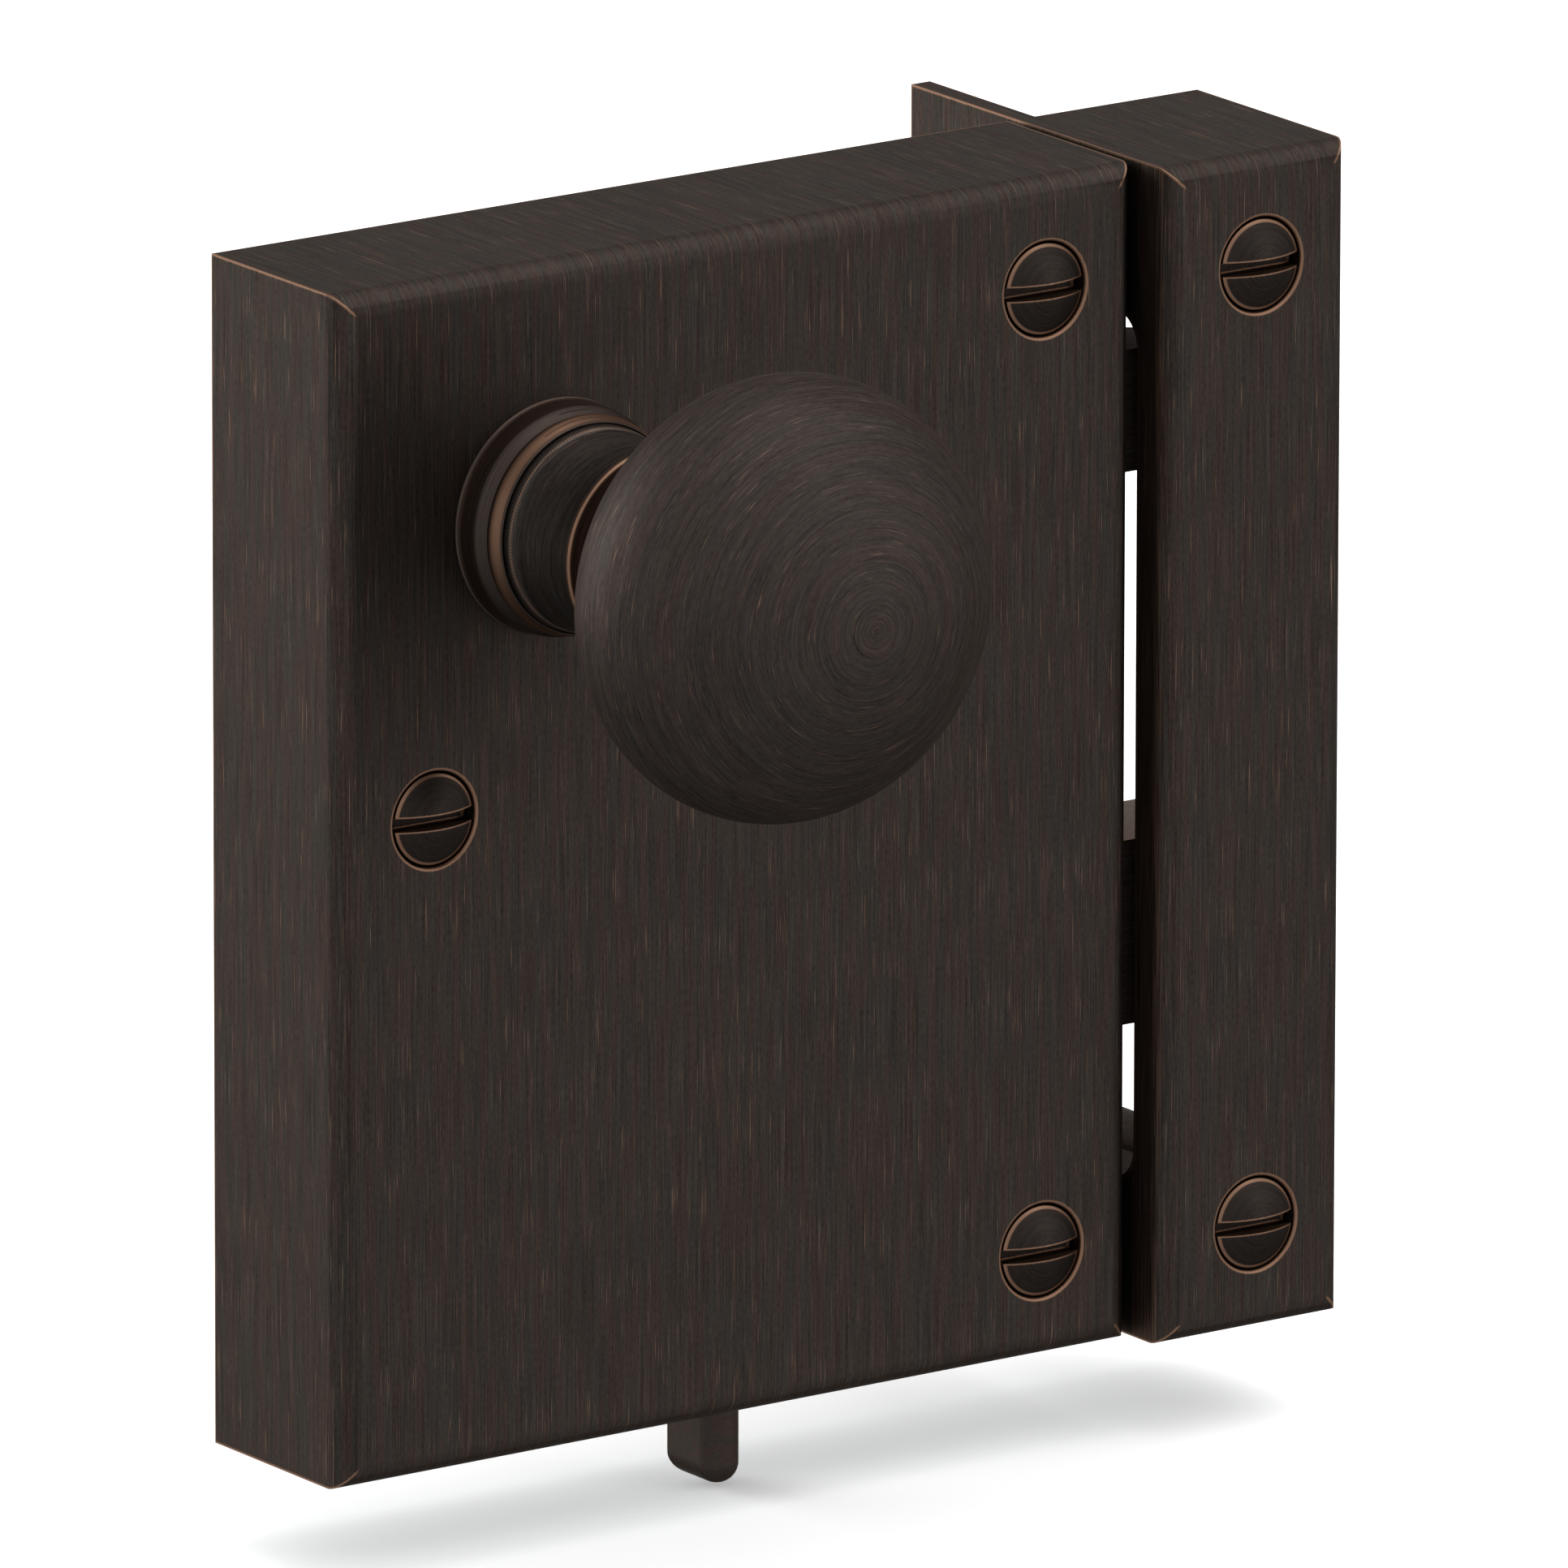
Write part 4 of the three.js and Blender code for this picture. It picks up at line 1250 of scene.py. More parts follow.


# Warmer and lighter than the case's bronze: partly the rosette's own browner colour, partly painted
# light that lifts it out of the shade of the knob and of its own turns.
ROSETTE_BRONZE_WITH_PAINTED_LIGHT = Bronze(
    warm=(0.053, 0.0385, 0.033),
    cool=(0.048, 0.038, 0.033),
    roughness=0.5,
    line_strength=0.35,
    scratch_strength=0.15,
)
NECK_BRONZE = Bronze(
    warm=(0.053, 0.042, 0.0373), cool=(0.0485, 0.042, 0.0373), line_strength=1.1, run=0.6
)
KNOB_BRONZE = Bronze(
    warm=(0.0488, 0.0368, 0.0328),
    cool=(0.0440, 0.0370, 0.0332),
    roughness=0.62,
    line_strength=0.82,
    scratch_strength=0.6,
    run=0.45,
    relief=0.05,
    edge_tint=(0.42, 0.414, 0.408),
)
SCREW_BRONZE = Bronze(
    warm=(0.0250, 0.0192, 0.0169),
    cool=(0.0232, 0.0192, 0.0169),
    roughness=0.48,
    line_strength=0.6,
    scratch_strength=0.15,
)
FLAT_SCREW_BRONZE = Bronze(line_strength=0.6)
# Bolt bronze about four times as light as the case's: partly the bolts' browner colour, partly
# painted light against the shade of their recess behind the case's front.
BOLT_BRONZE_WITH_PAINTED_LIGHT = Bronze(warm=(0.190, 0.138, 0.118), cool=(0.165, 0.132, 0.115))
TOGGLE_BRONZE = Bronze(roughness=0.4, line_strength=0.45, scratch_strength=0.1)
CAST_STEEL = Steel(bright=(0.2, 0.195, 0.19), dull=(0.11, 0.105, 0.1), roughness=0.5)
SPRING_STEEL = Steel(bright=(0.45, 0.44, 0.42), dull=(0.3, 0.29, 0.27), roughness=0.3)
SCREW_STEEL = Steel(roughness=0.34)


def dress(piece: bpy.types.Object, material: bpy.types.Material) -> None:
    """Gives a piece or a CAD node its finish.

    Args:
        piece: The object.
        material: The finish.
    """
    if not piece.material_slots:
        piece.data.materials.append(material)
    for slot in piece.material_slots:
        slot.link = "OBJECT"
        slot.material = material


def complete(
    piece: bpy.types.Object, material: bpy.types.Material, body: str, slot: str, node: str
) -> bpy.types.Object:
    """Shades and dresses a finished shape, fixes it to its body, hides the CAD node that it replaces
    and logs its body and slot.

    Args:
        piece: The finished shape.
        material: Its finish.
        body: The CAD body that it moves with.
        slot: The record's material slot of its finish.
        node: The CAD node that it replaces.

    Returns:
        The same piece.
    """
    shade(piece)
    dress(piece, material)
    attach(piece, body)
    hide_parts(node)
    LOG.info("%s rides on %s in %s", piece.name, body, slot)
    return piece


# ---------------------------------------------------------------------------
# Pieces
# ---------------------------------------------------------------------------


def corner_of(node: str) -> Vector:
    """The lowest X and Z of a CAD node, on the door's plane."""
    low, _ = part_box(node)
    return Vector((low.x, 0.0, low.z))


def centre_of(node: str) -> Vector:
    """The middle of a CAD node's box."""
    low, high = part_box(node)
    return (low + high) / 2


def range_mm(node: str, zero: Vector | None = None) -> tuple[Vector, Vector]:
    """The low and high corners of a CAD node's box, in millimetres from a point."""
    low, high = ((corner - (zero or Vector())) * PER_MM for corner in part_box(node))
    return low, high


def local_mm(node: str, zero: Vector) -> Point2:
    """X and Z of a CAD node's middle from a corner, in millimetres."""
    across = (centre_of(node) - zero) * PER_MM
    return (across.x, across.z)


def moved(mesh: bmesh.types.BMesh, x: float, y: float, z: float) -> bmesh.types.BMesh:
    """The same shape, moved by these millimetres."""
    bmesh.ops.translate(mesh, verts=mesh.verts, vec=Vector((x, y, z)) * MM)
    return mesh


def rod(radius: float, outer: float, inner: float, sides: int, at: Point2) -> bmesh.types.BMesh:
    """A plain round bar that points out of the door.

    Args:
        radius: Its radius.
        outer: Distance of its outer end from the door's plane.
        inner: Distance of its inner end.
        sides: How many sides it has.
        at: Its centre as (x, z).

    Returns:
        A solid in metres.
    """
    profile = [Turn(0, outer), Turn(radius, outer), Turn(radius, inner), Turn(0, inner)]
    return moved(turned(profile, sides), at[0], 0, at[1])


@dataclass(frozen=True)
class ScrewSeat:
    """The stepped hole of a domed screw and the boss behind it, in millimetres."""

    seat_radius: float = 4.85
    seat_depth: float = 3.4
    shank_radius: float = 2.6
    boss_radius: float = 6.2
    rim_ease: float = 0.3

    def boss(self, at: Point2, face: float, inner: float) -> bmesh.types.BMesh:
        """The boss inside the piece.

        Args:
            at: Centre as (x, z).
            face: Distance of the piece's front face from the door's plane.
            inner: Distance of the boss's inner end from it.

        Returns:
            A solid in metres.
        """
        return rod(self.boss_radius, face - BURIED, inner, MEDIUM, at)

    def hole(self, at: Point2, face: float) -> bmesh.types.BMesh:
        """What is taken away for the screw.

        Args:
            at: Centre as (x, z).
            face: Distance of the piece's front face from the door's plane.

        Returns:
            A solid in metres.
        """
        wide, ease, floor = self.seat_radius, self.rim_ease, face - self.seat_depth
        profile = [Turn(0, face + 2 * PAST), Turn(wide + ease, face + 2 * PAST)]
        profile += [Turn(wide + ease - ease * s, face - ease + ease * c) for c, s in quarter(6)]
        profile += [Turn(wide, floor), Turn(self.shank_radius, floor)]
        profile += [Turn(self.shank_radius, -PAST), Turn(0, -PAST)]
        return moved(turned(profile, FINE), at[0], 0, at[1])


@dataclass(frozen=True)
class LockCase:
    """The pan-shaped case and the plate that closes it, in millimetres."""

    wall: float = 2.0
    edge_radius: float = 2.45
    plate_thickness: float = 1.8
    plate_soften: float = 0.25
    knob_hole_radius: float = 6.1
    knob_hole_depth: float = 6.0
    bolt_gap: float = 0.3
    toggle_gap: Point2 = (0.45, 0.4)
    toggle_corner: float = 0.6
    post_radius: float = 3.0
    seat: ScrewSeat = ScrewSeat()
    screws: tuple[str, ...] = ("case_screw_top", "case_screw_left", "case_screw_bottom")
    posts: tuple[str, ...] = ("back_screw_1", "back_screw_2", "back_screw_3")

    def build(self) -> bpy.types.Object:
        """Builds the case.

        Returns:
            The finished piece.
        """
        low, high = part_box("lock_case")
        zero = corner_of("lock_case")
        width, depth, height = ((high - low) * PER_MM)[:]
        box = pan(width, height, depth, self.wall, self.edge_radius)
        piece = to_object("case_shell", box, zero)
        places = tuple(local_mm(name, zero) for name in self.screws)
        inner = self.plate_thickness
        bosses = [self.seat.boss(at, depth, inner) for at in places]
        for name in self.posts:
            at = local_mm(name, zero)
            bosses.append(rod(self.post_radius, depth - BURIED, inner, COARSE, at))
        shape(piece, Work.JOIN, bosses)
        shape(piece, Work.CUT, [self.seat.hole(at, depth) for at in places])
        shape(piece, Work.CUT, self.openings(zero, width, depth))
        wear = PanWearAndPaintedLight(width, height, depth, self.edge_radius, places, self.seat.seat_radius)
        size = (width, depth, height)
        bronze = Bronze().material("case_bronze", Lay.UPRIGHT, wear, size)
        return complete(piece, bronze, "lock", "oil_rubbed_bronze", "lock_case")

    def openings(self, zero: Vector, width: float, depth: float) -> list[bmesh.types.BMesh]:
        """What is taken away for the knob, the bolts and the toggle.

        Args:
            zero: The case's lower left corner on the door's plane.
            width: The case's width.
            depth: The case's depth.

        Returns:
            Solids in metres.
        """
        at = local_mm("rosette", zero)
        inner = depth - self.knob_hole_depth
        made = [rod(self.knob_hole_radius, depth + PAST, inner, MEDIUM, at)]
        for node in ("latch_bolt", "dead_bolt"):
            low, high = range_mm(node, zero)
            top = high.z if node == "dead_bolt" else low.z + LatchBolt.head_height
            x = (width - self.wall - PAST, width + PAST)
            y = (LatchBolt.head_front - self.bolt_gap, high.y + self.bolt_gap)
            made.append(block(x, y, (low.z - self.bolt_gap, top + self.bolt_gap)))
        low, high = range_mm("toggle", zero)
        beside, before = self.toggle_gap
        x = (low.x - DeadBolt.stroke - beside, high.x + beside)
        outline = round_rectangle(x, (low.y - before, high.y + before), self.toggle_corner)
        made.append(prism(outline, -PAST, self.wall + PAST, "z"))
        return made

    def build_back(self) -> bpy.types.Object:
        """Builds the back plate.

        Returns:
            The finished piece.
        """
        piece = clean_copy("back_plate", "case_back", self.plate_soften)
        steel = Steel().material("back_plate_steel", Lay.ALONG_Z)
        return complete(piece, steel, "lock", "plate_steel", "back_plate")


@dataclass(frozen=True)
class Countersink:
    """The hole of a flat-headed screw in a left side, in millimetres inwards from it."""

    head_radius: float
    shank_radius: float
    depth: float
    rim: float = 0.2
    rim_rise: float = 0.02
    length: float = 6.0

    def hole(self) -> bmesh.types.BMesh:
        """What is taken away for the screw, round the X axis."""
        wide = self.head_radius + self.rim
        profile = [Turn(0, PAST), Turn(wide, PAST), Turn(wide, self.rim_rise)]
        profile += [Turn(self.head_radius, 0), Turn(self.shank_radius, -self.depth)]
        profile += [Turn(self.shank_radius, -self.length), Turn(0, -self.length)]
        return turned(profile, MEDIUM, Axis.LEFT)


@dataclass(frozen=True)
class Keeper:
    """The box keeper with its slot and flange, in millimetres.

    Args:
        wall: Thickness of its walls.
        depth: How far its front stands off the door's plane.
        edge_radius: Radius of its front edges.
        flange_thickness: Thickness of the flange behind the door's plane.
        flange_overlap: How far the flange reaches into the box's side.
        boss_end: Distance of the bosses' inner ends from the door's plane.
        slot: The bolts' slot in its left side.
        slot_reach: How far in the slot is cut.
        liner_soften: Width of the wear bar's softened edges.
        seat: The seats of its domed screws.
        screws: The CAD nodes of those screws.
        countersinks: The holes in its left side, with the start of their screws' names.
    """

    wall: float = 2.2
    depth: float = 26.0
    edge_radius: float = 2.45
    flange_thickness: float = 2.28
    flange_overlap: float = 0.5
    boss_end: float = 0.2
    slot: Slot = Slot(-20.75, -2.2, 15.93, 104.8, 3.5)
    slot_reach: float = 3.5
    liner_soften: float = 0.15
    seat: ScrewSeat = ScrewSeat()
    screws: tuple[str, ...] = ("keeper_screw_top", "keeper_screw_bottom")
    countersinks: tuple[tuple[str, Countersink], ...] = (
        ("liner_screw", Countersink(2.75, 1.45, 1.3)),
        ("flange_screw", Countersink(4.05, 2.2, 1.95)),
    )

    def build(self) -> bpy.types.Object:
        """Builds the keeper.

        Returns:
            The finished piece.
        """
        low, high = range_mm("keeper")
        zero = corner_of("keeper")
        width, height, reach = high.x - low.x, high.z - low.z, high.y
        box = pan(width, height, self.depth, self.wall, self.edge_radius)
        piece = to_object("keeper_box", box, zero)
        places = tuple(local_mm(name, zero) for name in self.screws)
        flange = block((0, self.flange_thickness), (-self.flange_overlap, reach), (0, height))
        bosses = [self.seat.boss(at, self.depth, self.boss_end) for at in places]
        shape(piece, Work.JOIN, [flange, *bosses])
        slot = self.slot
        outline = round_rectangle((slot.front, slot.back), (slot.bottom, slot.top), slot.corner)
        holes = [self.seat.hole(at, self.depth) for at in places]
        holes.append(prism(outline, -PAST, self.slot_reach, "x"))
        shape(piece, Work.CUT, holes + self.side_holes(zero))
        wear = PanWearAndPaintedLight(
            width,
            height,
            self.depth,
            self.edge_radius,
            places,
            self.seat.seat_radius,
            slot,
            (self.flange_thickness, reach),
        )
        size = (width, self.depth, height)
        bronze = Bronze().material("keeper_bronze", Lay.UPRIGHT, wear, size)
        return complete(piece, bronze, "lock", "oil_rubbed_bronze", "keeper")

    def side_holes(self, zero: Vector) -> list[bmesh.types.BMesh]:
        """What is taken away for the screws in the left side.

        Args:
            zero: The keeper's lower left corner on the door's plane.

        Returns:
            Solids in metres.
        """
        made = []
        for kind, countersink in self.countersinks:
            for end in ENDS:
                centre = (centre_of(f"{kind}_{end}") - zero) * PER_MM
                made.append(moved(countersink.hole(), 0, centre.y, centre.z))
        return made

    def build_liner(self) -> bpy.types.Object:
        """Builds the wear bar behind the slot.

        Returns:
            The finished piece.
        """
        piece = clean_copy("keeper_liner", "keeper_bar", self.liner_soften)
        wear = BoxWear(*range_mm("keeper_liner"))
        bronze = Bronze().material("liner_bronze", Lay.ALONG_Z, wear)
        return complete(piece, bronze, "lock", "plate_steel", "keeper_liner")


@dataclass(frozen=True)
class KnobSet:
    """Rosette, neck and knob on one axis, in millimetres out from the case's face.

    Args:
        knob_radius: Radius of the ball across the axis.
        knob_half: Half of the ball's length along the axis.
        knob_centre: Where the ball's middle is.
        ball_turn: Angle from the ball's front to where it meets its stem, in degrees.
        ball_steps: How many pieces that angle has.
        flare: Radius and place of the corner between the ball and its stem.
        stem_radius: Radius of the stem.
        stem_start: Where the stem is straight.
        stem_end: Where it ends inside the neck.
        spindle_half: Half of the square spindle's width, for the round hole that clears it.
        spindle_reach: How far out that hole goes.
        grub_gap: Gap round the grub screw.
        grub_out: Where the grub screw is.
        grub_ends: Low and high Z of its hole, from the axis.
        nicked_ring: Low and high Y of the neck's nicked ring.
        sides: How many sides a full turn has.
        rosette_profile: The rosette's corners; the wear on its side is partly painted light.
        neck_profile: The neck's corners; the wear on its end face is painted light.
    """

    knob_radius: float = 22.1
    knob_half: float = 15.6
    knob_centre: float = 38.8
    ball_turn: float = 157.0
    ball_steps: int = 88
    flare: Point2 = (7.7, 23.7)
    stem_radius: float = 7.2
    stem_start: float = 21.6
    stem_end: float = 5.0
    spindle_half: float = 3.65
    spindle_reach: float = 30.5
    grub_gap: float = 0.15
    grub_out: float = 12.0
    grub_ends: Point2 = (-14, -6)
    nicked_ring: Point2 = (-7.6, -6.3)
    sides: int = 192
    rosette_profile: tuple[Turn, ...] = (
        Turn(9.5, 0),
        Turn(11.9, 0),
        # Wear 0.3 to 0.45 on the side: partly its browner worn colour, partly painted light that
        # lightens the side facing away from the light.
        Turn(11.9, 0.12, 0.4, 0.35),
        Turn(11.74, 0.28, 0.4, 0.35),
        Turn(11.62, 0.6, 0.4, 0.45),
        Turn(11.6, 1.6, 0.3, 0.45),
        Turn(11.6, 2.6, 0.5, 0.4),
        Turn(11.52, 3.0, 0.5, 0.3),
        Turn(11.02, 3.82, 0.5, 0.1),
        Turn(10.84, 4.16, 0.42, 0.0),
        Turn(11.08, 4.48, 0.45, 0.6),
        Turn(11.08, 4.88, 0.5, 1.0),
        Turn(10.76, 5.85, 0.5, 1.0),
        Turn(10.64, 6.25, 0.45, 0.1),
        Turn(10.52, 6.24, 0.3),
        Turn(10.46, 6.1),
        Turn(10.46, 5.7),
        Turn(9.5, 5.7),
    )
    neck_profile: tuple[Turn, ...] = (
        Turn(7.5, 0.6),
        Turn(9.2, 0.6),
        Turn(9.2, 6),
        Turn(10.34, 6, 0.2),
        Turn(10.36, 6.85, 0.35, 0.4),
        Turn(10.22, 7.2, 0.4, 0.65),
        Turn(10.02, 7.44, 0.4, 0.15),
        Turn(9.85, 8.6, 0.5),
        Turn(9.58, 11.2, 0.5),
        Turn(9.68, 14, 0.5),
        Turn(10.02, 16, 0.5, 0.0),
        Turn(10.34, 16.85, 0.4, 0.9),
        Turn(10.42, 17.12, 0.4, 1.0),
        Turn(10.22, 17.34, 0.4, 1.0),
        # Wear 0.6 on the end face from here inwards is painted light: copper that lightens the face
        # in the knob's deep shade.
        Turn(9.95, 17.32, 0.4, 0.6),
        Turn(9.7, 17.2, 0.4, 0.6),
        Turn(9.0, 17.15, 0.4, 0.6),
        Turn(7.5, 17.15, 0.0, 0.6),
    )

    def build(self) -> list[bpy.types.Object]:
        """Builds the three pieces.

        Returns:
            The finished pieces.
        """
        middle = centre_of("rosette")
        at = Vector((middle.x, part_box("lock_case")[0].y, middle.z))
        rosette = to_object("rosette_ring", turned(eased(self.rosette_profile), self.sides), at)
        neck = to_object("neck_turning", turned(eased(self.neck_profile), self.sides), at)
        shape(neck, Work.CUT, [self.grub_hole()])
        ball = to_object("knob_ball", turned(self.ball_profile(), self.sides), at)
        return [
            # The rosette's finish carries painted light in its base and in its side's wear.
            self.turning(rosette, ROSETTE_BRONZE_WITH_PAINTED_LIGHT, SetWearAndPaintedLight(), "lock", "rosette"),
            self.turning(neck, NECK_BRONZE, SetWearAndPaintedLight(self.nicked_ring), "knob", "knob_neck"),
            self.turning(ball, KNOB_BRONZE, SetWearAndPaintedLight(), "knob", "knob"),
        ]

    @staticmethod
    def turning(
        piece: bpy.types.Object, bronze: Bronze, wear: WearRule, body: str, node: str
    ) -> bpy.types.Object:
        """Completes one turned piece.

        Args:
            piece: Its shape. The first word of its name also starts its material's name.
            bronze: Its finish.
            wear: Gives how worn each point is; on the rosette's side and the neck's end face it also
                paints in light.
            body: The CAD body that it moves with.
            node: The CAD node that it replaces.

        Returns:
            The finished piece.
        """
        material = bronze.material(f"{piece.name.split('_')[0]}_bronze", Lay.ROUND, wear)
        return complete(piece, material, body, "oil_rubbed_bronze", node)

    def ball_profile(self) -> list[Turn]:
        """The knob's profile from its front pole to the end of its stem.

        Returns:
            The profile's corners.
        """
        made = [Turn(0, self.knob_centre + self.knob_half)]
        for cosine, sine in quarter(self.ball_steps, 0, self.ball_turn)[1:]:
            out = self.knob_centre + self.knob_half * cosine
            made.append(Turn(self.knob_radius * sine, out))
        stem = [made[-1], Turn(*self.flare, 0.5), Turn(self.stem_radius, self.stem_start, 0.5)]
        stem.append(Turn(self.stem_radius, self.stem_end))
        hole = self.spindle_half * math.sqrt(2)
        made += eased(stem)[1:]
        made += [Turn(hole, self.stem_end), Turn(hole, self.spindle_reach)]
        return [*made, Turn(0, self.spindle_reach)]

    def grub_hole(self) -> bmesh.types.BMesh:
        """The hole for the grub screw in the neck's underside.

        Returns:
            A solid in metres.
        """
        low, high = range_mm("knob_set_screw")
        radius = (high.x - low.x) / 2 + self.grub_gap
        outline = [(radius * c, radius * s - self.grub_out) for c, s in quarter(32, 0, 360)[:-1]]
        return prism(outline, *self.grub_ends, "z")


@dataclass(frozen=True)
class DomedScrew:
    """A domed wood screw with a straight slot, in millimetres from the face it sits in.

    Args:
        head_radius: Radius of its head.
        dome: How high the dome rises.
        dome_inset: How far inside the head's side the dome ends.
        dome_steps: How many pieces the dome's half has.
        rim: Corners between the dome and the head's side, as (inwards, down).
        rim_sink: How far the dome's edge lies below the face.
        head_depth: How deep the head goes.
        slot_width: Width of its slot.
        slot_depth: Depth of its slot.
        behind: How far its point reaches behind the door's plane.
        soften: Width of its softened edges.
        shank: Its shank.
    """

    head_radius: float = 4.62
    dome: float = 1.25
    dome_inset: float = 0.18
    dome_steps: int = 12
    rim: tuple[Point2, ...] = ((0.04, 0.08), (0.0, 0.22))
    rim_sink: float = 0.12
    head_depth: float = 3.4
    slot_width: float = 1.4
    slot_depth: float = 2.75
    behind: float = 12.0
    soften: float = 0.1
    shank: Shank = Shank(2.3, 1.9)

    def build(self, node: str, name: str, front: float) -> bpy.types.Object:
        """Builds one screw.

        Args:
            node: The CAD node that it replaces.
            name: The new piece's name.
            front: Y of the face that it sits in, in metres.

        Returns:
            The finished piece.
        """
        middle = centre_of(node)
        top = self.dome - self.rim_sink
        profile = [Turn(0, top)]
        for index in range(1, self.dome_steps + 1):
            share = index / self.dome_steps
            radius = (self.head_radius - self.dome_inset) * share
            profile.append(Turn(radius, top - self.dome * share**2))
        for inwards, down in self.rim:
            profile.append(Turn(self.head_radius - inwards, -self.rim_sink - down))
        profile += [Turn(self.head_radius, -self.head_depth), Turn(0, -self.head_depth)]
        piece = to_object(name, turned(profile, FINE), Vector((middle.x, front, middle.z)))
        floor, half, wide = self.slot_depth - top, self.slot_width / 2, self.head_radius + PAST
        shape(piece, Work.CUT, [block((-wide, wide), (-top - PAST, floor), (-half, half))])
        end = front * PER_MM - self.behind
        shank = self.shank.solid(SHANK_OVERLAP - self.head_depth, end, Axis.FRONT)
        shape(piece, Work.JOIN, [shank])
        soften_edges(piece, self.soften)
        wear = ScrewWearAndPaintedLight(self.head_radius, self.slot_width, floor)
        bronze = SCREW_BRONZE.material(f"{name}_bronze", Lay.ROUND, wear)
        return complete(piece, bronze, "lock", "bronze_screw", node)


@dataclass(frozen=True)
class FlatScrew:
    """A countersunk screw with a straight slot, in millimetres from the face it sits in.

    Args:
        head_radius: Radius of its head.
        head_depth: How deep the head goes.
        length: How deep its point is.
        slot_width: Width of its slot.
        slot_depth: Depth of its slot.
        shank: Its shank.
        sunk: How far its head lies below the face.
        soften: Width of its softened edges.
    """

    head_radius: float
    head_depth: float
    length: float
    slot_width: float
    slot_depth: float
    shank: Shank
    sunk: float = 0.1
    soften: float = 0.06

    def build(
        self, node: str, name: str, at: Vector, axis: Axis, material: bpy.types.Material, slot: str
    ) -> bpy.types.Object:
        """Builds one screw.

        Args:
            node: The CAD node that it replaces.
            name: The new piece's name.
            at: The middle of its head at the face.
            axis: Which way its head points.
            material: Its finish.
            slot: The record's material slot.

        Returns:
            The finished piece.
        """
        top, under = -self.sunk, -self.head_depth
        profile = [Turn(0, top), Turn(self.head_radius, top), Turn(self.shank.radius, under)]
        profile.append(Turn(0, under))
        piece = to_object(name, turned(profile, MEDIUM, axis), at)
        floor, half, wide = top - self.slot_depth, self.slot_width / 2, self.head_radius + PAST
        if axis is Axis.LEFT:
            driver = block((-PAST, -floor), (-wide, wide), (-half, half))
        else:
            driver = block((-wide, wide), (floor, PAST), (-half, half))
        shape(piece, Work.CUT, [driver])
        shape(piece, Work.JOIN, [self.shank.solid(SHANK_OVERLAP + under, -self.length, axis)])
        soften_edges(piece, self.soften)
        return complete(piece, material, "lock", slot, node)


@dataclass(frozen=True)
class LatchBolt:
    """The spring latch, whose head is a bevelled bar, in millimetres.

    Args:
        head_height: Height of the head.
        head_front: Y of the head's front.
        soften: Width of its softened edges.
        wear_width: How far from the edges the wear reaches.
    """

    head_height: float = 12.5
    head_front: float = -17.2
    soften: float = 0.3
    wear_width: float = 0.55

    def build(self) -> bpy.types.Object:
        """Builds the latch bolt.

        Returns:
            The finished piece.
        """
        piece = clean_copy("latch_bolt", "latch_bar", self.soften)
        low, high = range_mm("latch_bolt")
        first = (low.x, self.head_front, low.z)
        last = (high.x, high.y, low.z + self.head_height)
        wear = BoxWear(first, last, self.wear_width)
        bronze = BOLT_BRONZE_WITH_PAINTED_LIGHT.material("latch_bronze", Lay.ALONG_X, wear)
        return complete(piece, bronze, "latch", "oil_rubbed_bronze", "latch_bolt")


@dataclass(frozen=True)
class DeadBolt:
    """The dead bolt, and the toggle that throws it, in millimetres.

    Args:
        stroke: How far the toggle travels.
        soften: Width of the bolt's softened edges.
        wear_width: How far from the bolt's edges the wear reaches.
        tab_ease: Radius of the toggle's two back edges.
        end_radius: Radius of its round lower end, seen from the front.
        heel: Radius of its lower back end.
        lift: How far its lower end stays above the CAD box.
    """

    stroke: float = 15.4
    soften: float = 0.3
    wear_width: float = 0.55
    tab_ease: float = 0.55
    end_radius: float = 2.12
    heel: float = 2.3
    lift: float = 0.45

    def build(self) -> bpy.types.Object:
        """Builds the dead bolt.

        Returns:
            The finished piece.
        """
        piece = clean_copy("dead_bolt", "dead_bar", self.soften)
        wear = BoxWear(*range_mm("dead_bolt"), self.wear_width)
        bronze = BOLT_BRONZE_WITH_PAINTED_LIGHT.material("dead_bolt_bronze", Lay.ALONG_X, wear)
        return complete(piece, bronze, "dead_bolt", "oil_rubbed_bronze", "dead_bolt")

    @staticmethod
    def inset(radius: float, height: float) -> float:
        """How far a rounding of a radius draws the side in at a height above the lower end."""
        short = max(0.0, radius - height)
        return radius - math.sqrt(radius**2 - short**2)

    def build_toggle(self) -> bpy.types.Object:
        """Builds the toggle: a bar with a round front and a round lower end.

        Returns:
            The finished piece.
        """
        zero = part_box("toggle")[0]
        low, high = range_mm("toggle")
        half, front, back = (high.x - low.x) / 2, low.y, high.y
        ease = self.tab_ease
        section = [(half * c, front + half + half * s) for c, s in quarter(24, 180, 360)]
        section += [(half - ease + ease * c, back - ease + ease * s) for c, s in quarter(5)]
        section += [(ease * c - half + ease, back - ease + ease * s) for c, s in quarter(5, 90, 180)]
        heights = [self.heel * (1 - c) for c, _ in quarter(14)]
        mesh = empty_mesh()
        rings = []
        for height in [*heights, high.z - low.z - self.lift]:
            ring = []
            for x, y in section:
                nose = max(0.0, (front + half - y) / half)
                tail = max(0.0, (y - back + self.heel) / self.heel)
                drawn = self.inset(self.end_radius, height)
                x *= 1 - drawn / half
                y += drawn * nose - self.inset(self.heel, height) * tail
                ring.append(mesh.verts.new(Vector((x, y, height + self.lift)) * MM))
            rings.append(ring)
        at = Vector((centre_of("toggle").x, 0, zero.z))
        piece = to_object("toggle_tab", stacked(mesh, rings), at)
        bronze = TOGGLE_BRONZE.material("toggle_bronze", Lay.ALONG_X, SetWearAndPaintedLight())
        return complete(piece, bronze, "dead_bolt", "oil_rubbed_bronze", "toggle")


